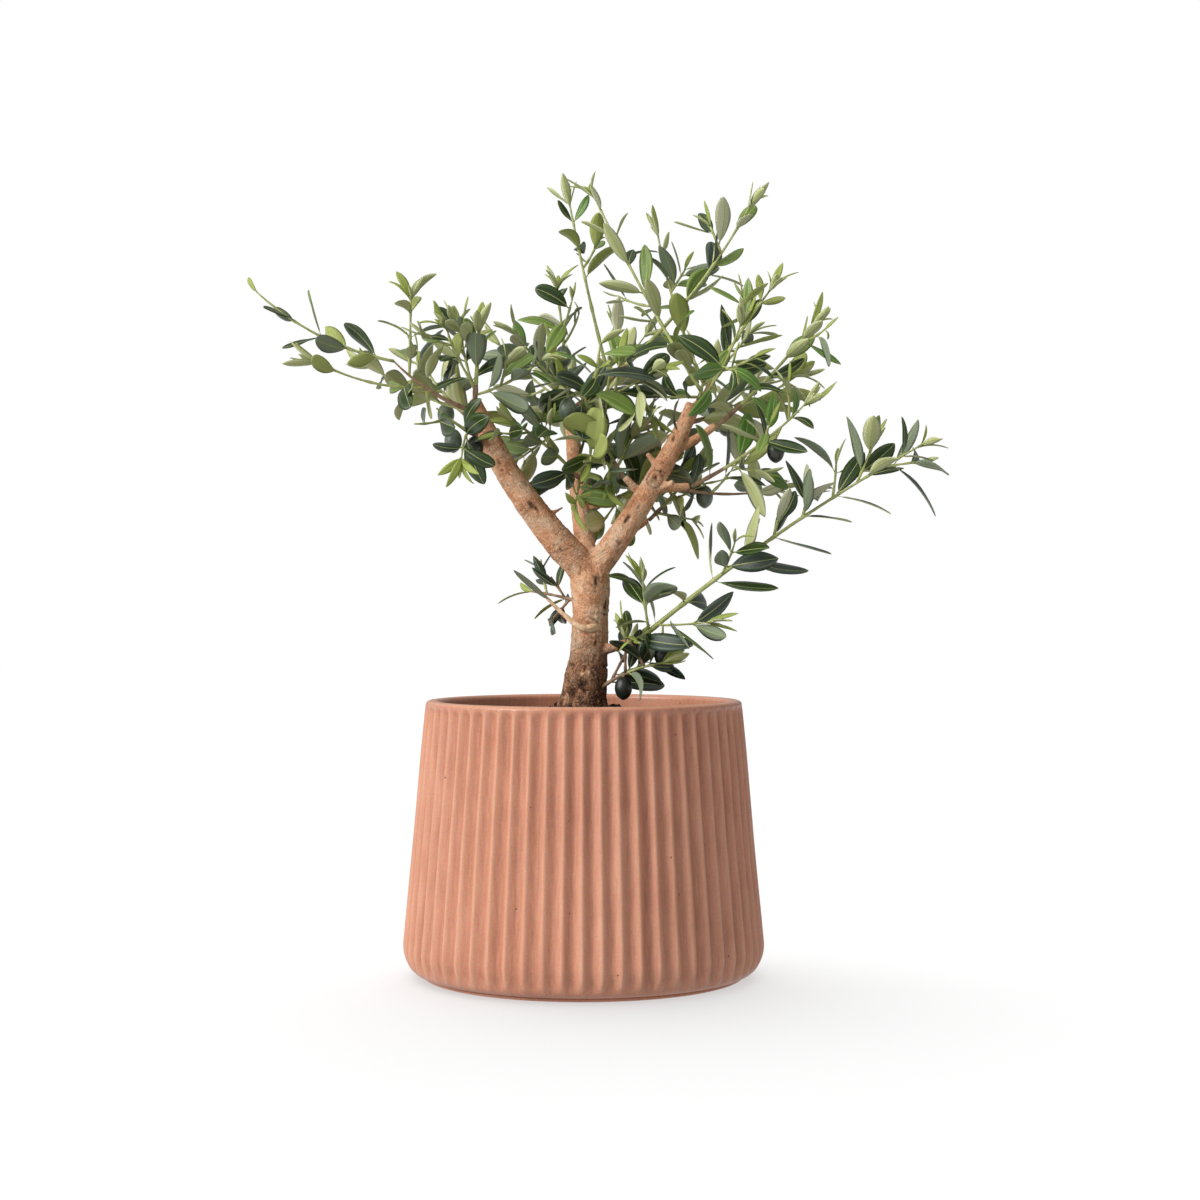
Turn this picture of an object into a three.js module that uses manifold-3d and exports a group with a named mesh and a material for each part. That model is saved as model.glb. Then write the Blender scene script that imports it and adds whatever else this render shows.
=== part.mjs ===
// Olive bonsai in its ribbed terracotta pot, as a group of closed solids.
// Millimetres, +Z up. The origin is the middle of the pot's flat underside,
// +X is to the right and -Y is to the front.

import * as THREE from 'three';
import { mergeVertices } from 'three/addons/utils/BufferGeometryUtils.js';
import Module from 'manifold-3d';

const wasm = await Module();
wasm.setup();

// Clear distance left between neighbouring pieces, and round each leaf and twig
const GAP = 0.3;
const LEAF_CLEARANCE = 0.5;

// Shortest edge that a joint between pieces may leave
const SLIVER = 0.005;

// Pot: a wall that widens towards the foot, upright ribs, a rounded turn and a low foot
const POT = {
  height: 170,
  topRadius: 98,
  baseRadius: 111.5,
  turnHeight: 18,
  turnSteps: 2,
  footRadius: 100,
  footHeight: 2.5,
  wall: 9,
  floor: 12,
  lipRound: 3,
  plainBand: 4.5,
  ribFade: 6,
  ribStep: 1,
  ribs: 60,
  ribDepth: 1.8,
  ribColumns: 2,
  neckBulge: 0.6,
  insideColumns: 36,
};

// Soil: level at the wall, with a low mound that the trunk stands on
const SOIL = { edgeLevel: 159, footLevel: 160, moundLevel: 165, moundTop: 21, moundFoot: 52 };

// Trunk: leans to the right, narrows above a flare with low buttresses, swells at the fork
const TRUNK = {
  foot: -1.5,
  heading: 0,
  rise: 79,
  curl: 14,
  length: 86,
  waist: 10.8,
  flare: 5.2,
  flareHeight: 24,
  swell: 1.4,
  swellFrom: 0.7,
  swellTo: 0.95,
  dome: 0.7,
  buttresses: 5,
  buttressDepth: 0.1,
  buttressHeight: 14,
  sunk: 6,
  sides: 12,
  step: 9,
};

// Boughs. on and at: the limb it grows from and how far along; heading: degrees from +X towards +Y;
// rise: degrees above the level; turn and curl: how much these two change by the tip; base, tip: radii.
const BOUGHS = {
  bough_left: {
    on: 'trunk', at: 0.96, heading: 188, turn: 8, rise: 44, curl: 22,
    length: 129, base: 10.4, tip: 6.2,
  },
  bough_right: {
    on: 'trunk', at: 0.96, heading: -6, turn: -5, rise: 51, curl: 15,
    length: 124, base: 9, tip: 4.8,
  },
  bough_rear: {
    on: 'trunk', at: 0.96, heading: 112, turn: -8, rise: 66, curl: 7,
    length: 116, base: 7, tip: 4.2,
  },
  bough_right_side: {
    on: 'bough_right', at: 0.74, heading: 14, rise: 22, curl: 16, length: 33,
    base: 3.4, tip: 2.6,
  },
  bough_right_low: { on: 'bough_right', at: 0.52, heading: 16, rise: 6, length: 26, base: 3.2, tip: 2.5 },
  bough_left_low: { on: 'bough_left', at: 0.76, heading: 232, rise: 26, length: 16, base: 3.2, tip: 2.5 },
  bough_inner_left: { on: 'bough_rear', at: 0.42, heading: -75, rise: 44, length: 18, base: 3.2, tip: 2.4 },
  bough_inner_right: { on: 'bough_right', at: 0.47, heading: 196, rise: 46, length: 18, base: 3, tip: 2.3 },
  bough_centre_low: { on: 'bough_rear', at: 0.36, heading: 10, rise: 28, length: 17, base: 3, tip: 2.3 },
  bough_right_back: { on: 'bough_right', at: 0.2, heading: 38, rise: 30, length: 30, base: 3, tip: 2.2 },
  bough_low: { on: 'trunk', at: 0.42, heading: -22, rise: 17, length: 33, base: 3.6, tip: 2.8 },
  snag: { on: 'trunk', at: 0.58, heading: 212, rise: 24, curl: 14, length: 66, base: 2, tip: 0.9 },
};
const BOUGH = { sides: 8, step: 16 };

// Masses of foliage. Each grows from one stem on the tip of its bough or from the trunk. A line of growth
// has the bough's fields, and pairs: leaf pairs along it; spurs: short side twigs dealt by the seeded rule.
// from counts the lines of the mass, the stem being 0.
const MASSES = [
  {
    name: 'left_sweep', on: 'bough_left', at: 0.97, seed: 11, olives: 1,
    stem: { heading: 187, rise: 20, curl: 26, length: 56, base: 2.7, pairs: 0, spurs: 3 },
    shoots: [
      { from: 0, at: 0.97, heading: 189, rise: 10, curl: 32, length: 93, pairs: 5, spurs: 0 },
      { from: 0, at: 0.52, heading: 201, rise: -4, curl: 30, length: 70, pairs: 3, spurs: 0 },
      { from: 0, at: 0.74, heading: 285, rise: 83, curl: 2, length: 46, pairs: 3, spurs: 0 },
    ],
  },
  {
    name: 'left_crown', on: 'bough_left', at: 1, seed: 23, olives: 0,
    stem: { heading: 290, rise: 76, curl: 4, length: 42, base: 2.4, pairs: 3, spurs: 2 },
    shoots: [
      { from: 0, at: 0.16, heading: 128, rise: 58, curl: 20, length: 44, pairs: 3, spurs: 1 },
      { from: 0, at: 0.24, heading: 222, rise: 44, curl: 24, length: 40, pairs: 3, spurs: 1 },
      { from: 0, at: 0.12, heading: 348, rise: 14, curl: 24, length: 46, pairs: 3, spurs: 1 },
    ],
  },
  {
    name: 'left_low', on: 'bough_left_low', at: 1, seed: 37, olives: 1,
    stem: { heading: 212, rise: 24, curl: 12, length: 32, base: 2, pairs: 2, spurs: 1 },
    shoots: [{ from: 0, at: 0.2, heading: 300, rise: -14, curl: -50, length: 28, pairs: 2, spurs: 0 }],
  },
  {
    name: 'left_back', on: 'bough_left', at: 0.9, seed: 41, olives: 1,
    stem: { heading: 118, rise: 18, curl: 18, length: 92, base: 2.4, pairs: 4, spurs: 1 },
    shoots: [{ from: 0, at: 0.35, heading: 160, rise: 16, curl: 18, length: 66, pairs: 3, spurs: 1 }],
  },
  {
    name: 'centre_spire', on: 'bough_rear', at: 0.99, seed: 53, olives: 0,
    stem: { heading: -20, turn: -10, rise: 33, curl: 24, length: 170, base: 2.6, pairs: 6, spurs: 1 },
    shoots: [{ from: 0, at: 0.17, heading: 169, rise: 75, curl: 4, length: 114, pairs: 6, spurs: 1 }],
  },
  {
    name: 'centre_top', on: 'bough_rear', at: 1, seed: 67, olives: 1,
    stem: { heading: 254, turn: -10, rise: 77, curl: -6, length: 74, base: 2, pairs: 4, spurs: 2 },
    shoots: [{ from: 0, at: 0.14, heading: 205, rise: 30, curl: 26, length: 46, pairs: 3, spurs: 1 }],
  },
  {
    name: 'centre_front', on: 'bough_rear', at: 0.93, seed: 71, olives: 0,
    stem: { heading: 282, rise: 6, curl: 20, length: 86, base: 2.2, pairs: 4, spurs: 2 },
    shoots: [{ from: 0, at: 0.35, heading: 322, rise: 8, curl: 20, length: 58, pairs: 3, spurs: 1 }],
  },
  {
    name: 'centre_back', on: 'bough_rear', at: 0.92, seed: 83, olives: 0,
    stem: { heading: 92, rise: 14, curl: 20, length: 104, base: 2.4, pairs: 4, spurs: 1 },
    shoots: [
      { from: 0, at: 0.25, heading: 40, rise: 30, curl: 20, length: 84, pairs: 4, spurs: 1 },
      { from: 0, at: 0.4, heading: 140, rise: 26, curl: 18, length: 76, pairs: 3, spurs: 1 },
    ],
  },
  {
    name: 'right_top', on: 'bough_right', at: 1, seed: 97, olives: 0,
    stem: { heading: 40, rise: 72, length: 16, base: 2.8, pairs: 0, spurs: 0 },
    shoots: [
      { from: 0, at: 0.55, heading: 154, turn: 4, rise: 57, curl: 6, length: 146, pairs: 7, spurs: 1 },
      { from: 0, at: 0.9, heading: 128, turn: -18, rise: 57, curl: 8, length: 112, pairs: 5, spurs: 0 },
      { from: 0, at: 0.75, heading: 20, rise: 40, curl: 14, length: 46, pairs: 3, spurs: 0 },
    ],
  },
  {
    name: 'right_fan', on: 'bough_right', at: 0.95, seed: 101, olives: 0,
    stem: { heading: -24, rise: 62, curl: -12, length: 88, base: 2.2, pairs: 5, spurs: 2 },
    shoots: [{ from: 0, at: 0.12, heading: -70, rise: 20, curl: 26, length: 70, pairs: 3, spurs: 1 }],
  },
  {
    name: 'right_side', on: 'bough_right_side', at: 1, seed: 113, olives: 0,
    stem: { heading: -22, rise: 38, curl: 12, length: 84, base: 2.2, pairs: 5, spurs: 2 },
    shoots: [],
  },
  {
    name: 'right_low', on: 'bough_right_low', at: 1, seed: 127, olives: 2,
    stem: { heading: -22, turn: -20, rise: 24, curl: 14, length: 92, base: 2.2, pairs: 4, spurs: 3 },
    shoots: [],
  },
  {
    name: 'right_far', on: 'bough_right_low', at: 0.6, seed: 131, olives: 1,
    stem: { heading: 20, rise: -12, curl: 24, length: 66, base: 1.9, pairs: 3, spurs: 2 },
    shoots: [],
  },
  {
    name: 'right_back', on: 'bough_right', at: 0.9, seed: 149, olives: 1,
    stem: { heading: 62, rise: 8, curl: 22, length: 100, base: 2.4, pairs: 4, spurs: 2 },
    shoots: [{ from: 0, at: 0.3, heading: 24, rise: 14, curl: 20, length: 70, pairs: 3, spurs: 1 }],
  },
  {
    name: 'inner_left', on: 'bough_inner_left', at: 1, seed: 151, olives: 0,
    stem: { heading: 216, turn: -14, rise: 44, curl: -14, length: 60, base: 2, pairs: 4, spurs: 3 },
    shoots: [],
  },
  {
    name: 'centre_low', on: 'bough_centre_low', at: 0.9, seed: 157, olives: 0,
    stem: { heading: 24, rise: 20, curl: 22, length: 50, base: 1.9, pairs: 3, spurs: 3 },
    shoots: [],
  },
  {
    name: 'inner_right', on: 'bough_inner_right', at: 1, seed: 163, olives: 1,
    stem: { heading: 206, rise: 58, curl: 6, length: 46, base: 1.9, pairs: 3, spurs: 3 },
    shoots: [],
  },
  {
    name: 'right_inner', on: 'bough_right_back', at: 1, seed: 173, olives: 0,
    stem: { heading: 20, rise: 42, curl: 10, length: 44, base: 1.9, pairs: 3, spurs: 4 },
    shoots: [],
  },
  {
    name: 'low_sweep', on: 'bough_low', at: 1, seed: 181, olives: 0,
    stem: { heading: -9, rise: 40, curl: -11, length: 208, base: 2.4, pairs: 9, spurs: 2 },
    shoots: [
      { from: 0, at: 0.04, heading: 244, rise: 66, curl: 14, length: 32, pairs: 3, spurs: 0 },
      { from: 0, at: 0.07, heading: -30, rise: 0, curl: 6, length: 34, pairs: 2, spurs: 0 },
    ],
  },
  {
    name: 'low_olives', on: 'trunk', at: 0.19, seed: 191, olives: 2,
    stem: { heading: -30, rise: 34, curl: -26, length: 48, base: 1.9, pairs: 3, spurs: 1 },
    shoots: [],
  },
  {
    name: 'trunk_left', on: 'trunk', at: 0.78, seed: 199, olives: 0,
    stem: { heading: 152, rise: 16, curl: -10, length: 34, base: 1.6, pairs: 2, spurs: 1 },
    shoots: [],
  },
];

// Twigs: three-sided, thicker the longer they are
const TWIG = { sides: 3, base: 1, perLength: 0.006, tip: 0.8, step: 30, fewestSteps: 1 };
const SPUR = { shortest: 15, longest: 30, pairs: 2, spread: 52, curl: 18, first: 0.3, last: 0.85 };
const GOLDEN_ANGLE = 137.5;

// Seeds of the spurs and leaves of a mass: so many for the mass, so many for each of its lines
const SPUR_SEEDS = { mass: 1000, line: 10 };
const LEAF_SEEDS = { mass: 10000, line: 100 };

// A stem leaves its limb on the side it heads to, this share of the limb's radius off its middle
const STEM_ASIDE = 0.7;
const SHOOT_STEP = 0.02;

// Leaves: opposite pairs, each pair a quarter turn on from the last, smaller and closer to the tip
const LEAF = {
  length: 35,
  pairTurn: 90,
  halfTurn: 180,
  scatter: 0.2,
  width: 0.44,
  thickness: 1.4,
  thickest: -0.3,
  sides: 4,
  baseSpread: 66,
  tipSpread: 34,
  spreadScatter: 14,
  turnScatter: 24,
  rollScatter: 26,
  shrink: 0.3,
  young: 0.62,
  youngSpread: 18,
  lift: 0.3,
  sunk: 0.2,
  tries: 4,
  firstPair: 0.6,
  barePart: 0.2,
  tipPair: 0.98,
};

// Olives hang under a leaf pair on a short stalk
const OLIVE = { radius: 5.6, halfLength: 7.2, stalk: 4.5, stalkRadius: 1, columns: 5, rows: 3 };

// Furthest reach of the crown from the origin, and the height kept clear above the rim
const CROWN = { left: 199, right: 221, front: 150, back: 160, top: 503, aboveRim: 2 };

const FINISH = {
  terracotta: { color: 0xc98d70, roughness: 0.85, metalness: 0 },
  soil: { color: 0x3a2c22, roughness: 1, metalness: 0 },
  bark: { color: 0xa98468, roughness: 0.9, metalness: 0 },
  deadWood: { color: 0x9c8f74, roughness: 0.9, metalness: 0 },
  foliage: { color: 0x56703a, roughness: 0.55, metalness: 0 },
};

// A point beyond this share of a line is its end, and a line this close to +X takes another side
const LAST_SHARE = 1 - 1e-6;
const ALONG_X = 0.9;

// Side of a block larger than the whole plant
const BLOCK = 600;

const UP = new THREE.Vector3(0, 0, 1);
const rad = THREE.MathUtils.degToRad;
const lerp = THREE.MathUtils.lerp;

// Even numbers from 0 to 1 that come out the same for the same seed
function seeded(seed) {
  const [factor, step, range, warmUp] = [1664525, 1013904223, 4294967296, 6];
  let state = seed;
  const draw = () => {
    state = (state * factor + step) % range;
    return state / range;
  };
  for (let skipped = 0; skipped < warmUp; skipped += 1) draw();
  return draw;
}

function solidOf(geometry) {
  geometry.deleteAttribute('normal');
  geometry.deleteAttribute('uv');
  const closed = mergeVertices(geometry);
  return new wasm.Manifold(new wasm.Mesh({
    numProp: 3,
    vertProperties: new Float32Array(closed.attributes.position.array),
    triVerts: new Uint32Array(closed.index.array),
  }));
}

function geometryOf(solid) {
  const mesh = solid.getMesh();
  const geometry = new THREE.BufferGeometry();
  const corners = new Float32Array(mesh.vertProperties);
  geometry.setAttribute('position', new THREE.BufferAttribute(corners, 3));
  geometry.setIndex(new THREE.BufferAttribute(new Uint32Array(mesh.triVerts), 1));
  geometry.computeVertexNormals();
  return geometry;
}

// The largest body of a solid: loose scraps are dropped and sealed hollows filled
function mainBody(solid) {
  return solid.decompose().reduce((most, body) => (body.volume() > most.volume() ? body : most));
}

// Length of the shortest edge of a solid
function shortestEdge(solid) {
  const { vertProperties, triVerts } = solid.getMesh();
  const corner = (i) => new THREE.Vector3().fromArray(vertProperties, triVerts[i] * 3);
  let shortest = Infinity;
  for (let i = 0; i < triVerts.length; i += 3) {
    const [a, b, c] = [corner(i), corner(i + 1), corner(i + 2)];
    shortest = Math.min(shortest, a.distanceTo(b), b.distanceTo(c), c.distanceTo(a));
  }
  return shortest;
}

// Direction for a heading and a rise in degrees
function direction(heading, rise) {
  const level = Math.cos(rad(rise));
  const [x, y] = [level * Math.cos(rad(heading)), level * Math.sin(rad(heading))];
  return new THREE.Vector3(x, y, Math.sin(rad(rise)));
}

// A limb or twig that grows from a start and tapers from base to tip
class Limb {
  constructor(start, size, sides, step) {
    const { heading, rise, length, turn = 0, curl = 0 } = size;
    const spans = Math.max(TWIG.fewestSteps, Math.round(length / step));
    this.sides = sides;
    this.length = length;
    this.base = size.base;
    this.tip = size.tip;
    this.points = [start.clone()];
    for (let span = 0; span < spans; span += 1) {
      const share = (span + 0.5) / spans;
      const stride = direction(heading + turn * share, rise + curl * share).multiplyScalar(length / spans);
      this.points.push(this.points[span].clone().add(stride));
    }
    this.frames = this.carriedFrames();
  }

  // Along, side and cross directions at each point, carried on without twist
  carriedFrames() {
    const last = this.points.length - 1;
    let side = new THREE.Vector3(1, 0, 0);
    return this.points.map((point, i) => {
      const [behind, ahead] = [this.points[Math.max(i - 1, 0)], this.points[Math.min(i + 1, last)]];
      const along = ahead.clone().sub(behind).normalize();
      if (i === 0 && Math.abs(along.x) > ALONG_X) side = new THREE.Vector3(0, 1, 0);
      side = side.clone().addScaledVector(along, -side.dot(along)).normalize();
      return { along, side, cross: side.clone().cross(along) };
    });
  }

  radiusAt(share) {
    return lerp(this.base, this.tip, share);
  }

  // Point and frame at a share of the length
  at(share) {
    const place = share * (this.points.length - 1);
    const i = Math.min(Math.floor(place), this.points.length - 2);
    return { point: this.points[i].clone().lerp(this.points[i + 1], place - i), ...this.frames[i] };
  }

  // Direction square to the limb, at an angle in degrees round it
  outward(frame, angle) {
    const [sideways, across] = [Math.cos(rad(angle)), Math.sin(rad(angle))];
    return frame.side.clone().multiplyScalar(sideways).addScaledVector(frame.cross, across);
  }

  // A cylinder bent along the line, thicker by the margin
  solid(margin = 0) {
    const spans = this.points.length - 1;
    const geometry = new THREE.CylinderGeometry(1, 1, 1, this.sides, spans);
    const position = geometry.attributes.position;
    for (let i = 0; i < position.count; i += 1) {
      const [x, y, z] = [position.getX(i), position.getY(i), position.getZ(i)];
      const share = y + 0.5;
      const place = Math.round(share * spans);
      const frame = this.frames[place];
      const radius = this.radiusAt(share, Math.atan2(z, x)) + margin;
      const end = margin * (share > LAST_SHARE ? 1 : 0);
      const vertex = this.points[place].clone().addScaledVector(frame.along, end);
      vertex.addScaledVector(frame.side, x * radius).addScaledVector(frame.cross, z * radius);
      position.setXYZ(i, vertex.x, vertex.y, vertex.z);
    }
    return solidOf(geometry);
  }
}

// The trunk, with its buttressed flare at the ground and its swelling and rounded end at the fork
class Trunk extends Limb {
  radiusAt(share, angle = 0) {
    const height = share * this.length - TRUNK.sunk;
    const flare = TRUNK.flare * Math.exp(-Math.max(height, 0) / TRUNK.flareHeight);
    const swell = TRUNK.swell * THREE.MathUtils.smoothstep(share, TRUNK.swellFrom, TRUNK.swellTo);
    const lobes = Math.cos(TRUNK.buttresses * angle) * TRUNK.buttressDepth;
    const buttress = 1 + lobes * Math.exp(-Math.max(height, 0) / TRUNK.buttressHeight);
    const end = share > LAST_SHARE ? TRUNK.dome : 1;
    return (TRUNK.waist + flare + swell) * buttress * end;
  }
}

// Pieces in the way of new growth, each with the box it fills
const obstacles = [];

function addObstacle(solid, owner) {
  obstacles.push({ solid, owner, box: solid.boundingBox() });
}

function boxesMeet(one, other) {
  return [0, 1, 2].every((axis) => one.min[axis] < other.max[axis] && other.min[axis] < one.max[axis]);
}

// Whether a solid is inside the crown's reach and clear of all growth but its own twig
function isClear(solid, owner) {
  const box = solid.boundingBox();
  const inReach = box.min[0] > -CROWN.left && box.max[0] < CROWN.right && box.min[1] > -CROWN.front
    && box.max[1] < CROWN.back && box.max[2] < CROWN.top && box.min[2] > POT.height + CROWN.aboveRim;
  return inReach && obstacles.every((piece) => {
    if (piece.owner === owner || !boxesMeet(box, piece.box)) return true;
    const shared = solid.intersect(piece.solid);
    const clear = shared.isEmpty();
    shared.delete();
    return clear;
  });
}

// A blade of eight faces: a coarse ball squeezed to the leaf's sizes, thickest below its middle
function leafSolid(leaf, margin = 0) {
  const geometry = new THREE.SphereGeometry(1, LEAF.sides, 2);
  const position = geometry.attributes.position;
  for (let i = 0; i < position.count; i += 1) {
    if (Math.abs(position.getY(i)) > 0.5) position.setX(i, LEAF.thickest);
  }
  const cross = leaf.along.clone().cross(leaf.normal);
  const middle = leaf.root.clone().addScaledVector(leaf.along, leaf.length / 2 - LEAF.sunk);
  const shape = new THREE.Matrix4().makeBasis(leaf.along, leaf.normal, cross);
  shape.scale(new THREE.Vector3(
    leaf.length / 2 + margin,
    LEAF.thickness / 2 + margin,
    leaf.length * LEAF.width / 2 + margin,
  ));
  shape.setPosition(middle);
  geometry.applyMatrix4(shape);
  return solidOf(geometry);
}

// A leaf on a twig at a frame: its direction leans out from the twig, its upper face looks to the tip and up
function dealLeaf(line, frame, angle, spread, length, draw) {
  const outward = line.outward(frame, angle);
  const along = frame.along.clone().multiplyScalar(Math.cos(rad(spread)))
    .addScaledVector(outward, Math.sin(rad(spread))).normalize();
  const facing = frame.along.clone().addScaledVector(UP, LEAF.lift);
  const normal = facing.addScaledVector(along, -facing.dot(along)).normalize();
  normal.applyAxisAngle(along, rad((draw() * 2 - 1) * LEAF.rollScatter));
  return { root: frame.point, along, normal, length };
}

// An olive under its twig, with its stalk
function oliveSolid(frame) {
  const stalk = new Limb(frame.point, {
    heading: 0,
    rise: -90,
    length: OLIVE.stalk + OLIVE.halfLength,
    base: OLIVE.stalkRadius,
    tip: OLIVE.stalkRadius,
  }, TWIG.sides, OLIVE.stalk);
  const fruit = new THREE.SphereGeometry(1, OLIVE.columns, OLIVE.rows);
  fruit.rotateX(Math.PI / 2);
  fruit.scale(OLIVE.radius, OLIVE.radius, OLIVE.halfLength);
  fruit.translate(frame.point.x, frame.point.y, frame.point.z - OLIVE.stalk - OLIVE.halfLength);
  return stalk.solid().add(solidOf(fruit));
}

// One mass of foliage: its twigs first, then its leaves and olives
class Mass {
  constructor(size, limbs) {
    this.size = size;
    const limb = limbs.get(size.on);
    const aside = direction(size.stem.heading, 0).multiplyScalar(STEM_ASIDE * limb.radiusAt(size.at));
    const stem = this.makeLine(limb.at(size.at).point.add(aside), size.stem);
    this.lines = [stem];
    this.body = stem.solid();
    for (const shoot of size.shoots) this.growShoot(shoot);
    for (const line of this.lines) addObstacle(line.solid(LEAF_CLEARANCE), line);
  }

  // Joins a shoot to its line, moved along a little where the joint would leave a sliver
  growShoot(shoot) {
    for (let attempt = 0; attempt < LEAF.tries; attempt += 1) {
      const line = this.makeLine(this.lines[shoot.from].at(shoot.at - attempt * SHOOT_STEP).point, shoot);
      if (this.fuse(line.solid())) {
        this.lines.push(line);
        return;
      }
    }
    throw new Error(`${this.size.name}: a shoot could not be joined`);
  }

  // Joins a piece to the body, unless the joint would leave a sliver
  fuse(piece) {
    const joined = this.body.add(piece);
    if (shortestEdge(joined) < SLIVER) return false;
    this.body = joined;
    return true;
  }

  makeLine(start, size) {
    const base = size.base ?? TWIG.base + TWIG.perLength * size.length;
    const line = new Limb(start, { ...size, base, tip: TWIG.tip }, TWIG.sides, TWIG.step);
    line.pairs = size.pairs;
    line.spurs = size.spurs;
    return line;
  }

  // Short side twigs set round each line by the golden angle
  growSpurs() {
    this.lines.slice().forEach((line, order) => {
      for (let i = 0; i < line.spurs; i += 1) {
        const draw = seeded(this.size.seed * SPUR_SEEDS.mass + order * SPUR_SEEDS.line + i);
        const frame = line.at(lerp(SPUR.first, SPUR.last, (i + draw()) / line.spurs));
        const outward = line.outward(frame, i * GOLDEN_ANGLE + draw() * 360);
        const along = frame.along.clone().multiplyScalar(Math.cos(rad(SPUR.spread)))
          .addScaledVector(outward, Math.sin(rad(SPUR.spread)));
        const spur = this.makeLine(frame.point, {
          heading: THREE.MathUtils.radToDeg(Math.atan2(along.y, along.x)),
          rise: THREE.MathUtils.radToDeg(Math.asin(along.z)),
          curl: SPUR.curl,
          length: lerp(SPUR.shortest, SPUR.longest, draw()),
          pairs: SPUR.pairs,
        });
        spur.isSpur = true;
        const feeler = spur.solid(LEAF_CLEARANCE);
        if (isClear(feeler, line) && this.fuse(spur.solid())) {
          addObstacle(feeler, spur);
          this.lines.push(spur);
        }
      }
    });
  }

  growOlives() {
    for (let i = 0; i < this.size.olives; i += 1) {
      const frame = this.lines[0].at(lerp(SPUR.first, SPUR.last, (i + 0.5) / this.size.olives));
      const olive = oliveSolid(frame);
      if (isClear(olive, this.lines[0]) && this.fuse(olive)) addObstacle(olive, olive);
    }
  }

  // Opposite pairs along each line, each a quarter turn on, and a young pair at the tip of a shoot
  growLeaves() {
    this.lines.forEach((line, order) => {
      const count = line.pairs + (line.isSpur ? 0 : 1);
      for (let pair = 0; pair < count; pair += 1) {
        const isYoung = pair === line.pairs;
        const pairPlace = (pair + LEAF.firstPair) / (line.pairs + LEAF.barePart);
        const share = isYoung ? LEAF.tipPair : pairPlace;
        const spread = isYoung ? LEAF.youngSpread : lerp(LEAF.baseSpread, LEAF.tipSpread, share);
        const grown = LEAF.length * (isYoung ? LEAF.young : 1 - LEAF.shrink * share * share);
        for (const half of [0, 1]) {
          const draw = seeded(this.size.seed * LEAF_SEEDS.mass + order * LEAF_SEEDS.line + pair * 2 + half);
          const angle = (order + pair) * LEAF.pairTurn + half * LEAF.halfTurn;
          this.growLeaf(line, share, angle, spread, grown, draw);
        }
      }
    });
  }

  // Tries a few turns of one leaf and keeps the first that is clear of all other growth
  growLeaf(line, share, angle, spread, grown, draw) {
    const frame = line.at(share);
    for (let attempt = 0; attempt < LEAF.tries; attempt += 1) {
      const length = grown * (1 + (draw() * 2 - 1) * LEAF.scatter);
      const turned = angle + (draw() * 2 - 1) * LEAF.turnScatter * (1 + attempt);
      const leaning = spread + (draw() * 2 - 1) * LEAF.spreadScatter;
      const leaf = dealLeaf(line, frame, turned, leaning, length, draw);
      const feeler = leafSolid(leaf, LEAF_CLEARANCE);
      if (isClear(feeler, line) && this.fuse(leafSolid(leaf))) {
        addObstacle(feeler, line);
        return;
      }
    }
  }

  // The fused body, cut clear of the limbs
  solid(limbs) {
    return mainBody([...limbs.values()].reduce((whole, limb) => whole.subtract(limb.solid(GAP)), this.body));
  }
}

// Ribbed pot: the ribs are pressed into a turned body, and its inside is then taken out
function potSolid() {
  const wallTop = POT.height - POT.plainBand;
  const turn = Array.from({ length: POT.turnSteps + 1 }, (unused, i) => {
    const angle = rad(90 * i / POT.turnSteps);
    return new THREE.Vector2(
      lerp(POT.footRadius, POT.baseRadius, Math.sin(angle)),
      POT.footHeight + POT.turnHeight * (1 - Math.cos(angle)),
    );
  });
  const profile = [
    new THREE.Vector2(0, 0),
    new THREE.Vector2(POT.footRadius, 0),
    ...turn,
    new THREE.Vector2(POT.topRadius + POT.neckBulge, wallTop - POT.ribFade),
    new THREE.Vector2(POT.topRadius, wallTop),
    new THREE.Vector2(POT.topRadius, POT.height - POT.lipRound),
    new THREE.Vector2(POT.topRadius - POT.lipRound, POT.height),
    new THREE.Vector2(0, POT.height),
  ];
  const columns = POT.ribs * POT.ribColumns;
  const body = new THREE.LatheGeometry(profile, columns);
  const position = body.attributes.position;
  const ribbedFrom = POT.footHeight + POT.ribStep;
  const ribbedTo = wallTop - POT.ribFade + POT.ribStep;
  for (let i = 0; i < position.count; i += 1) {
    const [x, y, z] = [position.getX(i), position.getY(i), position.getZ(i)];
    const column = Math.round(Math.atan2(x, z) / (2 * Math.PI) * columns);
    const inValley = ((column % POT.ribColumns) + POT.ribColumns) % POT.ribColumns === 0;
    const ribbed = inValley && y > ribbedFrom && y < ribbedTo;
    const pressed = ribbed ? 1 - POT.ribDepth / Math.hypot(x, z) : 1;
    position.setXYZ(i, x * pressed, y, z * pressed);
  }
  const inside = new THREE.LatheGeometry(insideProfile(0, POT.height + POT.wall), POT.insideColumns);
  return solidOf(upright(body)).subtract(solidOf(upright(inside)));
}

// Inner wall of the pot from its floor to a level, drawn in by a margin
function insideProfile(margin, level) {
  const floor = POT.floor + margin;
  const radiusAt = (height) => lerp(POT.baseRadius, POT.topRadius, height / POT.height) - POT.wall - margin;
  return [
    new THREE.Vector2(0, floor),
    new THREE.Vector2(radiusAt(floor), floor),
    new THREE.Vector2(radiusAt(level), level),
    new THREE.Vector2(0, level),
  ];
}

function soilSolid() {
  const profile = insideProfile(GAP, SOIL.edgeLevel);
  profile.pop();
  profile.push(
    new THREE.Vector2(SOIL.moundFoot, SOIL.footLevel),
    new THREE.Vector2(SOIL.moundTop, SOIL.moundLevel),
    new THREE.Vector2(0, SOIL.moundLevel),
  );
  return solidOf(upright(new THREE.LatheGeometry(profile, POT.insideColumns)));
}

// Turns a lathe's axis from +Y to +Z
function upright(geometry) {
  return geometry.rotateX(Math.PI / 2);
}

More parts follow.
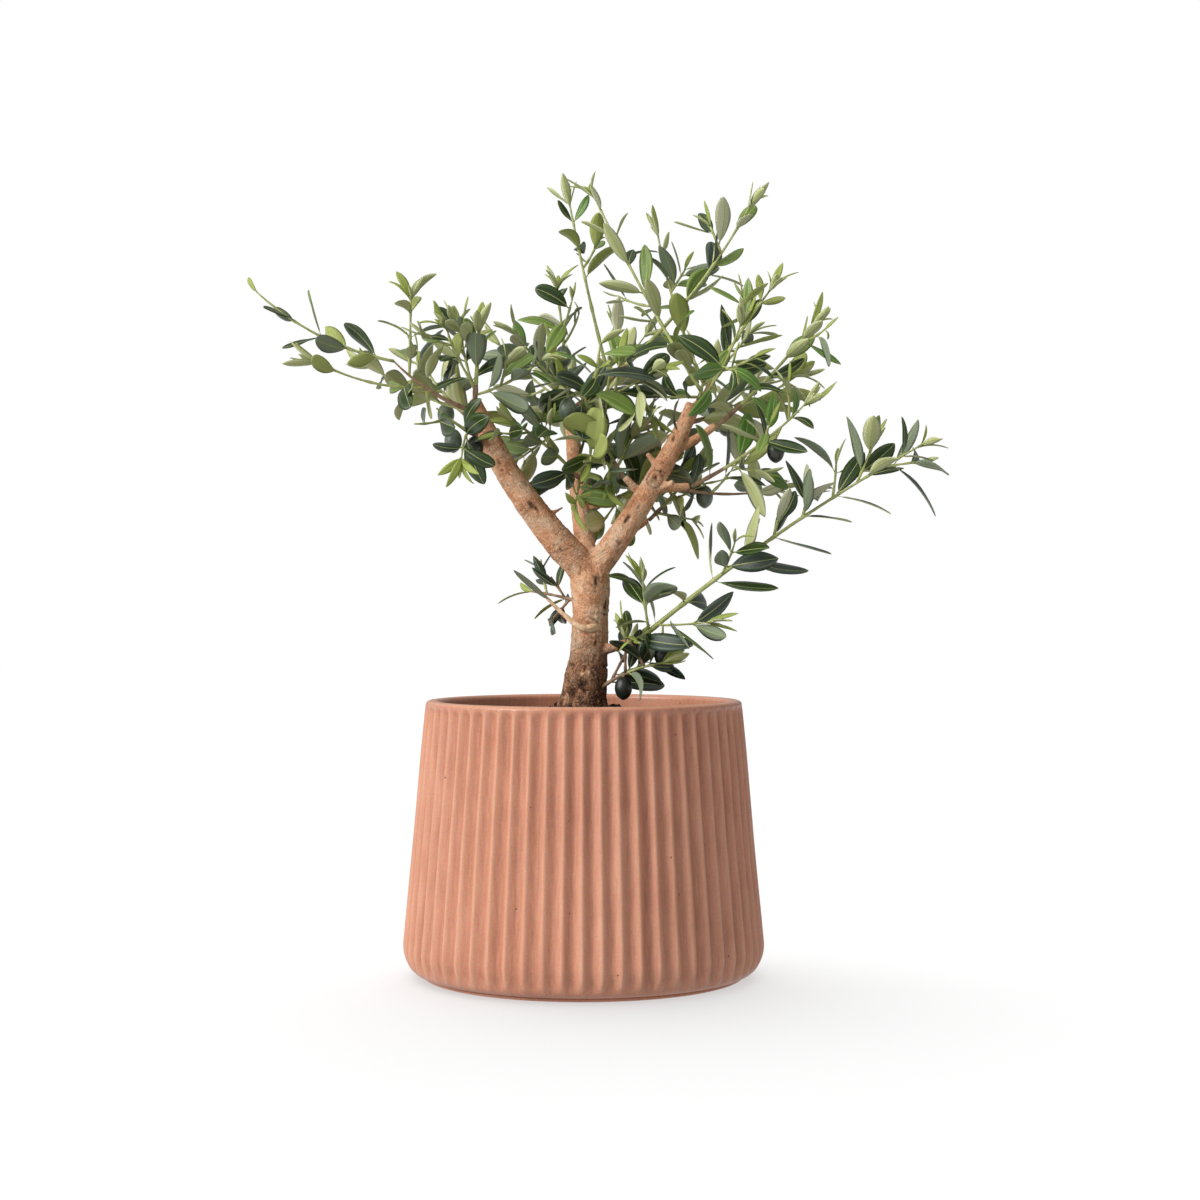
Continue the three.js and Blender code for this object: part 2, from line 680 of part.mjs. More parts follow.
// A block that fills everything above a level
function aboveLevel(level) {
  return solidOf(new THREE.BoxGeometry(BLOCK, BLOCK, BLOCK).translate(0, 0, level + BLOCK / 2));
}

const bonsai = new THREE.Group();

function addPart(name, solid, finish) {
  const part = new THREE.Mesh(geometryOf(solid), new THREE.MeshStandardMaterial(finish));
  part.name = name;
  bonsai.add(part);
}

const pot = potSolid();
const soil = soilSolid();
addPart('pot', pot, FINISH.terracotta);
addPart('soil', soil, FINISH.soil);

// The limbs, each cut clear of those it grows from and beside
const ground = SOIL.moundLevel + GAP;
const trunkFoot = new THREE.Vector3(TRUNK.foot, 0, ground)
  .addScaledVector(direction(TRUNK.heading, TRUNK.rise), -TRUNK.sunk);
const trunkSize = { ...TRUNK, length: TRUNK.length + TRUNK.sunk };
const trunk = new Trunk(trunkFoot, trunkSize, TRUNK.sides, TRUNK.step);
const limbs = new Map([['trunk', trunk]]);
addPart('trunk', trunk.solid().intersect(aboveLevel(ground)), FINISH.bark);
for (const [name, size] of Object.entries(BOUGHS)) {
  const bough = new Limb(limbs.get(size.on).at(size.at).point, size, BOUGH.sides, BOUGH.step);
  const earlier = [...limbs.values()];
  const cut = earlier.reduce((whole, limb) => whole.subtract(limb.solid(GAP)), bough.solid());
  addPart(name, mainBody(cut), name === 'snag' ? FINISH.deadWood : FINISH.bark);
  limbs.set(name, bough);
}

for (const limb of limbs.values()) addObstacle(limb.solid(LEAF_CLEARANCE), limb);
addObstacle(pot, pot);
const masses = MASSES.map((size) => new Mass(size, limbs));
for (const mass of masses) mass.growSpurs();
for (const mass of masses) mass.growOlives();
for (const mass of masses) mass.growLeaves();
for (const mass of masses) addPart(`foliage_${mass.size.name}`, mass.solid(limbs), FINISH.foliage);

export default bonsai;
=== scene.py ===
"""Looks of an olive bonsai in its ribbed terracotta pot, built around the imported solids.

Sizes are in millimetres, as in the part's source, and turn to metres where a mesh is made. +Z is up, +X is
to the right and -Y is to the front. Limbs, masses and the rule of growth repeat the part's source, but for
one turned shoot of the left low mass, the turned leaf pairs of the low sweep and the dead twig's bends.
Leaves also keep out of gaps of open sky and away from limbs in full view. Leaves, twigs and bark are
carried on to finer forms within the same reach.
"""

import logging
import math
from collections.abc import Callable, Iterable, Sequence
from dataclasses import dataclass, field, replace
from enum import Enum
from functools import partial

import bpy
import bmesh
import numpy as np
from bpy.types import Material, Node, NodeSocket, NodeTree, Object
from mathutils import Matrix, Quaternion, Vector, noise
from mathutils.bvhtree import BVHTree


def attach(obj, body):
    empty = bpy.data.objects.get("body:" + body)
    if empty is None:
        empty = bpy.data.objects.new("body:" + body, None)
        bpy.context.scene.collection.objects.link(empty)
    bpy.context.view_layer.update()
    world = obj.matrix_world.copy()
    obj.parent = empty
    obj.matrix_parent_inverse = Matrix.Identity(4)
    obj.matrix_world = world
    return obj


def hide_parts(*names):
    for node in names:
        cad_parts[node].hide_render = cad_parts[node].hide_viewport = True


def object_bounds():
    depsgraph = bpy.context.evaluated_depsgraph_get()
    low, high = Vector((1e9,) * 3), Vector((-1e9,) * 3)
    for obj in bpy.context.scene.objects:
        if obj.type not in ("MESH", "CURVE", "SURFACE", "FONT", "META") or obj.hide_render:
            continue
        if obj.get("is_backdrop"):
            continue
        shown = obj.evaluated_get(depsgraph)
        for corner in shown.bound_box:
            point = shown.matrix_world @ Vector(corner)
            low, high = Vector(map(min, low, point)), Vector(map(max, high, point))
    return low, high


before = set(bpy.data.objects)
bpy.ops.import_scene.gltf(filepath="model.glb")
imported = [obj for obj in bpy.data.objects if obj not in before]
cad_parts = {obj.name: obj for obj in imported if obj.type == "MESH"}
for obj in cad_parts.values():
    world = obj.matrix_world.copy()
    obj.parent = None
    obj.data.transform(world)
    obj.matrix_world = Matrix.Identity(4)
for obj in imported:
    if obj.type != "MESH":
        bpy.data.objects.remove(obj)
CAD_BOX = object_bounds()

LOG = logging.getLogger("olive_bonsai")
BODY = "root"
MM = 0.001
UP = Vector((0, 0, 1))
WHITE = "#FFFFFF"

# Corner numbers of a face, a row of random draws, two ends of a range, and a place
Face = tuple[int, ...]
Draw = Callable[[], float]
Span = tuple[float, float]
Place = tuple[float, float, float]
# Corners and faces of a piece
Shell = tuple[np.ndarray, list[Face]]


def linear(code: str) -> tuple[float, float, float, float]:
    """Turns an sRGB hex value to a linear colour.

    Args:
        code: Colour as "#RRGGBB".

    Returns:
        Linear red, green, blue and an alpha of one.
    """
    parts = [int(code[i : i + 2], 16) / 255 for i in (1, 3, 5)]
    red, green, blue = [p / 12.92 if p <= 0.04045 else ((p + 0.055) / 1.055) ** 2.4 for p in parts]
    return red, green, blue, 1.0


def lerp(start: float, end: float, share: float) -> float:
    """The value at a share of the way from start to end."""
    return start + (end - start) * share


def smoothstep(value: np.ndarray | float, low: float, high: float) -> np.ndarray:
    """Eases from 0 at low to 1 at high."""
    share = np.clip((np.asarray(value, float) - low) / (high - low), 0, 1)
    return share * share * (3 - 2 * share)


def seeded(seed: int) -> Draw:
    """Even numbers from 0 to 1 that come out the same for the same seed.

    Args:
        seed: Whole number that starts the row of draws.

    Returns:
        Function that gives the next number.
    """
    factor, step, size, warm_up = 1664525, 1013904223, 4294967296, 6
    state = seed

    def draw() -> float:
        """The next number of the row."""
        nonlocal state
        state = (state * factor + step) % size
        return state / size

    for _ in range(warm_up):
        draw()
    return draw


def direction(heading: float, rise: float) -> Vector:
    """Unit vector for a heading and a rise in degrees."""
    level = math.cos(math.radians(rise))
    turn = math.radians(heading)
    return Vector((level * math.cos(turn), level * math.sin(turn), math.sin(math.radians(rise))))


# Materials


# What feeds an input: an output socket, or a node whose first open output is meant
Source = NodeSocket | Node
AddNode = Callable[..., Node]
# Stops of a colour ramp: place and colour
Ramp = tuple[tuple[float, str], ...]
# Ends of a range of values, and what they turn to
Limits = tuple[float, float, float, float]

RANGE_NAMES = ("From Min", "From Max", "To Min", "To Max")
# Numbers of the colour sockets and of the number sockets on a Mix node
MIX_A, MIX_B = 6, 7
NUMBER_A, NUMBER_B = 2, 3
COLOURS = {"data_type": "RGBA"}
WEIGHED_SUM = {"operation": "MULTIPLY_ADD"}


def add_node(
    tree: NodeTree,
    kind: str,
    settings: dict[str | int, object] | None = None,
    links: dict[str | int, Source] | None = None,
) -> Node:
    """Adds a node with its settings and links.

    Args:
        tree: Node tree that takes the node.
        kind: Type of the node, without the word ShaderNode.
        settings: Values by input name or number, by node property, or under "ramp" as colour stops.
        links: What feeds the inputs, by their name or number.

    Returns:
        The new node.
    """
    node = tree.nodes.new("ShaderNode" + kind)
    for name, value in (settings or {}).items():
        if name == "ramp":
            stops = node.color_ramp.elements
            for _ in range(len(value) - len(stops)):
                stops.new(1.0)
            for stop, (place, code) in zip(stops, value):
                stop.position = place
                stop.color = linear(code)
        elif isinstance(name, int) or name in node.inputs:
            node.inputs[name].default_value = value
        else:
            setattr(node, name, value)
    for name, source in (links or {}).items():
        if isinstance(source, Node):
            source = next(output for output in source.outputs if output.enabled)
        tree.links.new(source, node.inputs[name])
    return node


def start_material(name: str) -> tuple[Material, AddNode]:
    """Makes an empty material, and the function that adds a node to it."""
    material = bpy.data.materials.new(name)
    material.use_nodes = True
    material.node_tree.nodes.clear()
    return material, partial(add_node, material.node_tree)


def plain_material(name: str, settings: dict[str, object]) -> Material:
    """Makes a material of one Principled shader with constant values."""
    material, add = start_material(name)
    add("OutputMaterial", links={"Surface": add("BsdfPrincipled", settings)})
    return material


@dataclass(frozen=True)
class Pattern:
    """A pattern in object space: how many millimetres its features are apart, and its finer layers."""

    size: float
    detail: float = 0.0

    @property
    def settings(self) -> dict[str, float]:
        """Settings of the pattern's node."""
        return {"Scale": 1 / (self.size * MM), "Detail": self.detail}


@dataclass(frozen=True)
class Finish:
    """A finish with patterns: its tones, its gloss, and the strength and depth of its finest relief."""

    name: str
    tones: Ramp
    roughness: float = 0.5
    shine: float = 0.5
    bump: float = 0.0
    bump_depth: float = 0.0

    def gloss(self) -> dict[str, float]:
        """Constant values of the shader."""
        return {"Roughness": self.roughness, "Specular IOR Level": self.shine}

    def patterns(self, add: AddNode, place: NodeSocket) -> tuple[Node, Node | None]:
        """Colour and, where the finish has one, height.

        Args:
            add: Function that adds a node.
            place: Place in object space.

        Returns:
            The nodes that give the two.
        """
        raise NotImplementedError

    def material(self) -> Material:
        """Builds the material."""
        material, add = start_material(self.name)
        colour, height = self.patterns(add, add("TexCoord").outputs["Object"])
        links = {"Base Color": colour}
        if height:
            relief = {"Strength": self.bump, "Distance": self.bump_depth * MM}
            links["Normal"] = add("Bump", relief, {"Height": height})
        add("OutputMaterial", links={"Surface": add("BsdfPrincipled", self.gloss(), links)})
        return material


@dataclass(frozen=True)
class FiredTerracotta(Finish):
    """Terracotta, slip cast in a ribbed mould and fired without glaze.

    Smooth from the mould, the clay has a dull satin shine. It is paler on the crests that hands rub, and
    darker down in the valleys between the ribs, which is painted shade. The lip ring is paler still, a
    painted highlight. It has cloudy patches from the kiln, fine upright streaks from the mould and a few
    small open pits. Its sand is too fine to show, so it is drawn as coarser grit.
    """

    name: str = "fired_terracotta"
    # Tones from the painted shade of the valleys, through the clay, to the rubbed crests and the painted lip
    # highlight
    tones: Ramp = ((0.44, "#A4684E"), (0.67, "#C38468"), (0.91, "#D39A7D"))
    roughness: float = 0.37
    bump: float = 0.3
    bump_depth: float = 0.4
    cloud: Pattern = Pattern(46.0, 3.0)
    cloud_tone: float = 0.35
    streak: Pattern = Pattern(1.6, 2.0)
    streak_squeeze: Place = (1.0, 1.0, 0.03)
    streak_tone: float = 0.36
    streak_height: float = 0.8
    grit: Pattern = Pattern(1.1, 2.0)
    grit_tone: float = 0.4
    pit: str = "#7A4630"
    pit_cells: Pattern = Pattern(16.0)
    pit_edge: Limits = (0.05, 0.02, 0.0, 1.0)
    pit_depth: float = 3.0

    def patterns(self, add: AddNode, place: NodeSocket) -> tuple[Node, Node | None]:
        """Clay by the mesh's crest attribute, with its painted valley shade and lip highlight, clouds and
        streaks, with grit and pits.
        """
        crest = add("Attribute", {"attribute_name": "crest"}).outputs["Fac"]
        squeezed = add("Mapping", {"Scale": self.streak_squeeze}, {"Vector": place})
        cloud, streak, grit = (
            add("TexNoise", pattern.settings, {"Vector": where})
            for pattern, where in ((self.cloud, place), (self.streak, squeezed), (self.grit, place))
        )
        clouded = add("Math", WEIGHED_SUM | {1: self.cloud_tone}, {0: cloud, 2: crest})
        # The crest attribute makes crests paler where rubbed, valleys darker as painted shade and the lip
        # paler as a painted highlight
        worn_and_valley_shade = add("Math", WEIGHED_SUM | {1: self.streak_tone}, {0: streak, 2: clouded})
        clay = add("ValToRGB", {"ramp": self.tones}, {"Fac": worn_and_valley_shade})
        soft_light = COLOURS | {"blend_type": "SOFT_LIGHT", 0: self.grit_tone}
        gritty = add("Mix", soft_light, {MIX_A: clay, MIX_B: grit.outputs["Color"]})
        cells = add("TexVoronoi", self.pit_cells.settings, {"Vector": place})
        pits = add("MapRange", dict(zip(RANGE_NAMES, self.pit_edge)), {"Value": cells})
        pitted = add("Mix", COLOURS | {MIX_B: linear(self.pit)}, {0: pits, MIX_A: gritty})
        drawn = add("Math", WEIGHED_SUM | {1: self.streak_height}, {0: streak, 2: grit})
        sunk = add("Math", WEIGHED_SUM | {1: -self.pit_depth}, {0: pits, 2: drawn})
        return pitted, sunk


@dataclass(frozen=True)
class PottingSoil(Finish):
    """Moist peat and composted bark, sieved and firmed by watering: dark, matt and crumbly."""

    roughness: float = 0.95
    shine: float = 0.2
    bump: float = 0.7
    bump_depth: float = 0.6
    crumb: Pattern = Pattern(3.2, 4.0)
    fibre: Pattern = Pattern(0.8, 2.0)

    def patterns(self, add: AddNode, place: NodeSocket) -> tuple[Node, Node | None]:
        """Tones by the crumbs, and height by finer fibres."""
        crumb, fibre = (
            add("TexNoise", pattern.settings, {"Vector": place}) for pattern in (self.crumb, self.fibre)
        )
        return add("ValToRGB", {"ramp": self.tones}, {"Fac": crumb}), fibre


@dataclass(frozen=True)
class OliveBark(Finish):
    """Bark of a young olive limb, grown and weathered: thin, dry, tan with pinkish and pale grey patches.

    Fine dark lines swirl over it between paler flakes. Scars are dark, and cracks, wrinkles, pores and knot
    hollows are darker where the relief sinks, which is painted shade. The oldest bark at the foot is deep
    brown and scaly. The mesh carries where, in two attributes: one for scars with that painted shade, one
    for age.
    """

    name: str = "olive_bark"
    tones: Ramp = ((0.55, "#C48862"), (0.72, "#D9A27C"), (0.92, "#E4C2A2"))
    roughness: float = 0.8
    shine: float = 0.15
    bump: float = 0.9
    bump_depth: float = 0.8
    old: str = "#5A3A27"
    flake: str = "#DDB493"
    # Colour of the dark swirl lines, and of scars and painted shade in cracks and pits
    crack: str = "#3A2519"
    patch: Pattern = Pattern(13.0, 5.0)
    grain: Pattern = Pattern(1.6, 4.0)
    grain_tone: float = 0.45
    scale: Pattern = Pattern(0.7, 2.0)
    scale_height: float = 0.4
    swirl: Pattern = Pattern(15.0, 4.0)
    swirl_bend: float = 0.7
    swirl_lines: float = 17.0
    swing: float = 0.5
    line: Limits = (0.0, 0.12, 1.0, 0.0)
    line_depth: float = 0.9
    broken: Limits = (0.4, 0.6, 0.0, 0.7)
    pale: Limits = (0.36, 0.5, 0.0, 0.55)

    def patterns(self, add: AddNode, place: NodeSocket) -> tuple[Node, Node | None]:
        """Patches, swirling lines and grain, with the mesh's age, and its scars with painted shade in
        cracks.
        """
        scar, age = (add("Attribute", {"attribute_name": name}).outputs["Fac"] for name in ("scar", "age"))
        bent = self.swirl.settings | {"Distortion": self.swirl_bend}
        patch, grain, scale, swirl = (
            add("TexNoise", settings, {"Vector": place})
            for settings in (self.patch.settings, self.grain.settings, self.scale.settings, bent)
        )
        mottled = add("Math", WEIGHED_SUM | {1: self.grain_tone}, {0: grain, 2: patch})
        colour = add("ValToRGB", {"ramp": self.tones}, {"Fac": mottled})
        rings = add("Math", {"operation": "MULTIPLY", 1: self.swirl_lines}, {0: swirl})
        ring = add("Math", {"operation": "PINGPONG", 1: self.swing}, {0: rings})
        line, broken, pale = (
            add("MapRange", dict(zip(RANGE_NAMES, limits)), {"Value": source})
            for limits, source in ((self.line, ring), (self.broken, grain), (self.pale, ring))
        )
        lines = add("Math", {"operation": "MULTIPLY"}, {0: line, 1: broken})
        # Dark swirl lines, and scars with painted shade in the sunk cracks, wrinkles and pits
        dark = add("Math", {"operation": "MAXIMUM"}, {0: lines, 1: scar})
        for code, where in ((self.old, age), (self.flake, pale), (self.crack, dark)):
            colour = add("Mix", COLOURS | {MIX_B: linear(code)}, {0: where, MIX_A: colour})
        rough = add("Math", WEIGHED_SUM | {1: self.scale_height}, {0: scale, 2: grain})
        return colour, add("Math", WEIGHED_SUM | {1: -self.line_depth}, {0: lines, 2: rough})


@dataclass(frozen=True)
class TwigSkin(Finish):
    """Skin of a twig, grown smooth: waxy green when young, dull brown on old wood, bleached on dead."""

    mottle: Pattern = Pattern(4.0, 3.0)

    def patterns(self, add: AddNode, place: NodeSocket) -> tuple[Node, Node | None]:
        """One mottled pattern."""
        mottle = add("TexNoise", self.mottle.settings, {"Vector": place})
        return add("ValToRGB", {"ramp": self.tones}, {"Fac": mottle}), None


@dataclass(frozen=True)
class OliveSkin(Finish):
    """Skin of an olive ripening on the tree: smooth, with a waxy bloom in clouds and fine pale dots."""

    roughness: float = 0.36
    wax: float = 0.12
    wax_roughness: float = 0.3
    cloud: Pattern = Pattern(7.0, 3.0)
    dot: str = "#8C9478"
    dot_cells: Pattern = Pattern(1.9)
    dot_edge: Limits = (0.2, 0.1, 0.0, 0.5)

    def gloss(self) -> dict[str, float]:
        """Constant values of the shader, with the wax as a coat."""
        return super().gloss() | {"Coat Weight": self.wax, "Coat Roughness": self.wax_roughness}

    def patterns(self, add: AddNode, place: NodeSocket) -> tuple[Node, Node | None]:
        """Clouds of bloom, and dots."""
        cloud = add("TexNoise", self.cloud.settings, {"Vector": place})
        skin = add("ValToRGB", {"ramp": self.tones}, {"Fac": cloud})
        cells = add("TexVoronoi", self.dot_cells.settings, {"Vector": place})
        dots = add("MapRange", dict(zip(RANGE_NAMES, self.dot_edge)), {"Value": cells})
        return add("Mix", COLOURS | {MIX_B: linear(self.dot)}, {0: dots, MIX_A: skin}), None


class LeafTone(Enum):
    """Tones of an olive leaf, each with its colour, its roughness and its shine.

    The upper side has a thick waxy cuticle, dark and half glossy. The underside is felted with fine scales,
    pale and dull. One darker underside tone is painted shade on undersides in shadow. Tones are plain
    colours, dealt out by spray.
    """

    DEEP = ("#2A3D17", 0.34, 0.42)
    DEEP_EDGE = ("#3C5124", 0.36, 0.42)
    MID = ("#6C853A", 0.36, 0.42)
    MID_EDGE = ("#80974A", 0.38, 0.42)
    BLUE = ("#313F32", 0.34, 0.42)
    BLUE_EDGE = ("#465644", 0.36, 0.42)
    FRESH = ("#537A2A", 0.36, 0.42)
    FRESH_EDGE = ("#678E3A", 0.38, 0.42)
    SAGE = ("#BBC086", 0.6, 0.2)
    SAGE_EDGE = ("#C8CC9C", 0.62, 0.2)
    SILVER = ("#CFD0AC", 0.66, 0.2)
    OLIVE = ("#A4AD62", 0.55, 0.2)
    # Painted shade: a darker underside that stands for undersides in shadow
    DUSK = ("#808C72", 0.6, 0.2)
    YOUNG = ("#9AA852", 0.45, 0.2)
    RIB = ("#A3AD6C", 0.5, 0.2)
    DRY = ("#8F9478", 0.7, 0.2)

    def material(self) -> Material:
        """Builds the tone's material."""
        code, roughness, shine = self.value
        settings = {"Base Color": linear(code), "Roughness": roughness, "Specular IOR Level": shine}
        return plain_material("leaf_" + self.name.lower(), settings)


class Mood(Enum):
    """How a mass of foliage is toned: names of the upper sides' tones, then of the undersides'. Two moods
    are painted shade: they deal darker tones to masses low in the crown's shadow.
    """

    MIXED = ("DEEP MID BLUE MID FRESH DEEP", "SAGE OLIVE SILVER DUSK SAGE")
    MELLOW = ("MID OLIVE DEEP BLUE MID DEEP", "OLIVE SAGE DUSK")
    FRESH = ("FRESH MID DEEP FRESH DEEP", "OLIVE SAGE DUSK OLIVE")
    # Painted shade: darker tones for the low masses under the crown
    DUSKY = ("MID BLUE DEEP BLUE DEEP", "DUSK SAGE SILVER DUSK")
    # Painted shade: the darkest tones, for masses low against the trunk
    SHADED = ("BLUE DEEP", "DUSK BLUE OLIVE")

    def tones(self) -> list[list[LeafTone]]:
        """Tones of the upper sides and of the undersides."""
        return [[LeafTone[name] for name in side.split()] for side in self.value]


LEAF_TONES = list(LeafTone)
EDGE = "_EDGE"
# Tones that have another one at the blade's edge
EDGE_TONES = {LeafTone[tone.name.removesuffix(EDGE)]: tone for tone in LeafTone if tone.name.endswith(EDGE)}

TERRACOTTA = FiredTerracotta()
SOIL_BED = PottingSoil("potting_soil", ((0.36, "#1F1610"), (0.68, "#3B2A1E")))
SOIL_CRUMB = PottingSoil("soil_crumbs", ((0.36, "#2A1D14"), (0.68, "#574030")), crumb=Pattern(2.0, 4.0))
BARK = OliveBark()
GREEN_SHOOT = TwigSkin("green_shoot", ((0.35, "#9AA359"), (0.65, "#B9BD7A")), roughness=0.5)
WOODY_TWIG = TwigSkin("woody_twig", ((0.35, "#7C5E48"), (0.65, "#A5866A")), roughness=0.8)
DEAD_TWIG = TwigSkin("dead_twig", ((0.35, "#D6A47A"), (0.65, "#F5D8B6")), 0.8, mottle=Pattern(2.6, 3.0))
DARK_OLIVE = OliveSkin("dark_olive", ((0.4, "#171A14"), (0.75, "#2C3228")))
GREY_OLIVE = OliveSkin("grey_olive", ((0.4, "#55614F"), (0.75, "#7B8675")))


# Meshes


class Builder:
    """Gathers closed pieces into one mesh with several materials."""

    def __init__(self) -> None:
        """Starts with no faces."""
        self.vertices: list[np.ndarray] = []
        self.faces: list[Face] = []
        self.tones: list[int] = []
        self.count = 0

    def add(self, shell: Shell, tones: int | Sequence[int] = 0) -> None:
        """Adds a piece.

        Args:
            shell: Corners in millimetres, and faces by the numbers of their corners.
            tones: Material number of all faces or of each face.
        """
        vertices, faces = shell
        moved = [tuple(corner + self.count for corner in face) for face in faces]
        self.faces += moved
        self.tones += [tones] * len(moved) if isinstance(tones, int) else list(tones)
        self.vertices.append(np.asarray(vertices, float))
        self.count += len(vertices)

    def piece(self, name: str, materials: Sequence[Material], smooth: bool = True) -> Object:
        """Makes the object.

        Args:
            name: Name of the piece.
            materials: Materials in the order of their numbers.
            smooth: Whether faces are shaded as one round surface.

        Returns:
            The new object, in metres.
        """
        mesh = bpy.data.meshes.new(name)
        mesh.from_pydata((np.concatenate(self.vertices) * MM).tolist(), [], self.faces)
        for material in materials:
            mesh.materials.append(material)
        mesh.polygons.foreach_set("material_index", self.tones)
        mesh.polygons.foreach_set("use_smooth", [smooth] * len(self.faces))
        mesh.update()
        made = bpy.data.objects.new(name, mesh)
        bpy.context.scene.collection.objects.link(made)
        return made


def settle(piece: Object, slot: str, *nodes: str) -> None:
    """Puts a finished piece on the plant's body in place of its solids.

    Args:
        piece: Object in place.
        slot: The record's material slot; not used.
        nodes: Names of the solids that it stands for.
    """
    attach(piece, BODY)
    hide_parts(*nodes)
    LOG.info("%s: %d faces", piece.name, len(piece.data.polygons))


def grid_faces(rows: int, columns: int) -> list[Face]:
    """Faces of a grid that closes on itself along its columns.

    Args:
        rows: Number of rings.
        columns: Corners of each ring.

    Returns:
        Four-cornered faces between neighbouring rings.
    """
    faces = []
    for row in range(rows - 1):
        here, above = row * columns, (row + 1) * columns
        for column in range(columns):
            after = (column + 1) % columns
            faces.append((here + column, here + after, above + after, above + column))
    return faces


def closed_faces(rows: int, columns: int) -> list[Face]:
    """Faces of such a grid with both its ends closed."""
    top = (rows - 1) * columns
    ends = [tuple(range(columns - 1, -1, -1)), tuple(range(top, top + columns))]
    return grid_faces(rows, columns) + ends


def write_attribute(piece: Object, name: str, values: np.ndarray) -> None:
    """Stores one number for each corner of a mesh, by the name that a material reads."""
    layer = piece.data.attributes.new(name, "FLOAT", "POINT")
    layer.data.foreach_set("value", np.asarray(values, np.float32))


# Lines of growth


@dataclass(frozen=True)
class Course:
    """One line of growth: where it heads, how it bends and what it carries.

    heading is in degrees from +X towards +Y and rise in degrees above the level. turn and curl say how much
    the two change by the tip. base and tip are radii. origin counts the lines of a mass, the stem being 0,
    and at is the share of that line where this one starts.
    """

    heading: float
    rise: float
    length: float
    at: float = 1.0
    turn: float = 0.0
    curl: float = 0.0
    base: float = 0.0
    tip: float = 0.8
    pairs: int = 0
    spurs: int = 0
    origin: int = 0


@dataclass(frozen=True)
class Bough:
    """A bough: the limb that it grows from, how far along, and its course."""

    on: str
    at: float
    course: Course


@dataclass(frozen=True)
class MassPlan:
    """A mass of foliage: its limb, its seed, its fruit, its stem and the shoots on it.

    leaf_width is the width of a leaf against its length, leaf_size its shown length against the rule's,
    fill the number of finer twigs on each line, nest whether its tips have the youngest leaves, wood the
    share of the stem that is brown and phase a turn of all its leaf pairs. extra are finer twigs with a
    course of their own. hung are single olives: the line that carries each, the place along it, its stalk
    and its skin.
    """

    name: str
    on: str
    at: float
    seed: int
    stem: Course
    shoots: tuple[Course, ...] = ()
    olives: int = 0
    leaf_width: float = 0.36
    leaf_size: float = 1.0
    fill: int = 0
    nest: bool = True
    wood: float = 0.25
    phase: float = 0.0
    mood: Mood = Mood.MIXED
    extra: tuple[Course, ...] = ()
    hung: tuple[tuple[int, float, float, int], ...] = ()


# Directions at a point of a line: along it, to its side and across
Axes = tuple[Vector, Vector, Vector]


class Line:
    """A limb or twig that grows from a start and tapers from base to tip."""

    ALONG_X = 0.9

    def __init__(self, start: Vector, course: Course, step: float) -> None:
        """Walks the course.

        Args:
            start: First point.
            course: Direction, bend, length and radii.
            step: Longest stride.
        """
        spans = max(1, math.floor(course.length / step + 0.5))
        self.course = course
        self.points = [start.copy()]
        for span in range(spans):
            share = (span + 0.5) / spans
            stride = direction(course.heading + course.turn * share, course.rise + course.curl * share)
            self.points.append(self.points[span] + stride * (course.length / spans))
        self.axes = self._carried_axes()

    @classmethod
    def through(cls, points: list[Vector], base: float, tip: float) -> "Line":
        """A line through given points.

        Args:
            points: Points from foot to tip.
            base: Radius at the foot.
            tip: Radius at the tip.

        Returns:
            The line.
        """
        length = sum((after - before).length for before, after in zip(points, points[1:]))
        made = cls(points[0], Course(0, 0, length, base=base, tip=tip), length)
        made.points = points
        made.axes = made._carried_axes()
        return made

    def _carried_axes(self) -> list[Axes]:
        """Directions along, to the side and across at each point, carried on without twist."""
        last = len(self.points) - 1
        side = Vector((1, 0, 0))
        axes = []
        for i in range(last + 1):
            along = (self.points[min(i + 1, last)] - self.points[max(i - 1, 0)]).normalized()
            if i == 0 and abs(along.x) > self.ALONG_X:
                side = Vector((0, 1, 0))
            side = (side - along * side.dot(along)).normalized()
            axes.append((along, side, side.cross(along)))
        return axes

    def radius_at(self, share: float, angle: float = 0.0) -> float:
        """Radius at a share of the length and an angle round it, in radians."""
        return lerp(self.course.base, self.course.tip, share)

    def at(self, share: float) -> tuple[Vector, Axes]:
        """Point and directions at a share of the length.

        Args:
            share: 0 at the foot, 1 at the tip.

        Returns:
            The point and the directions of the stretch that it lies on.
        """
        place = share * (len(self.points) - 1)
        i = min(math.floor(place), len(self.points) - 2)
        return self.points[i].lerp(self.points[i + 1], place - i), self.axes[i]

    def tube(self, sides: int, margin: float = 0.0) -> Shell:
        """A closed tube along the line.

        Args:
            sides: Corners of each ring.
            margin: Extra radius, and extra length at the tip.

        Returns:
            Corners and faces.
        """
        last = len(self.points) - 1
        rings = []
        for i, (point, (along, side, across)) in enumerate(zip(self.points, self.axes)):
            centre = point + along * (margin if i == last else 0)
            for corner in range(sides):
                angle = math.tau * corner / sides
                radius = self.radius_at(i / last, angle) + margin
                x, y = math.cos(angle) * radius, math.sin(angle) * radius
                rings.append(centre + side * x + across * y)
        return np.array(rings), closed_faces(last + 1, sides)


def outward(axes: Axes, angle: float) -> Vector:
    """Direction square to a line, at an angle in degrees round it."""
    _, side, across = axes
    return side * math.cos(math.radians(angle)) + across * math.sin(math.radians(angle))


def leaning(axes: Axes, angle: float, spread: float) -> Vector:
    """Direction that leans out from a line by a spread in degrees, at an angle round it."""
    lean = math.radians(spread)
    return (axes[0] * math.cos(lean) + outward(axes, angle) * math.sin(lean)).normalized()


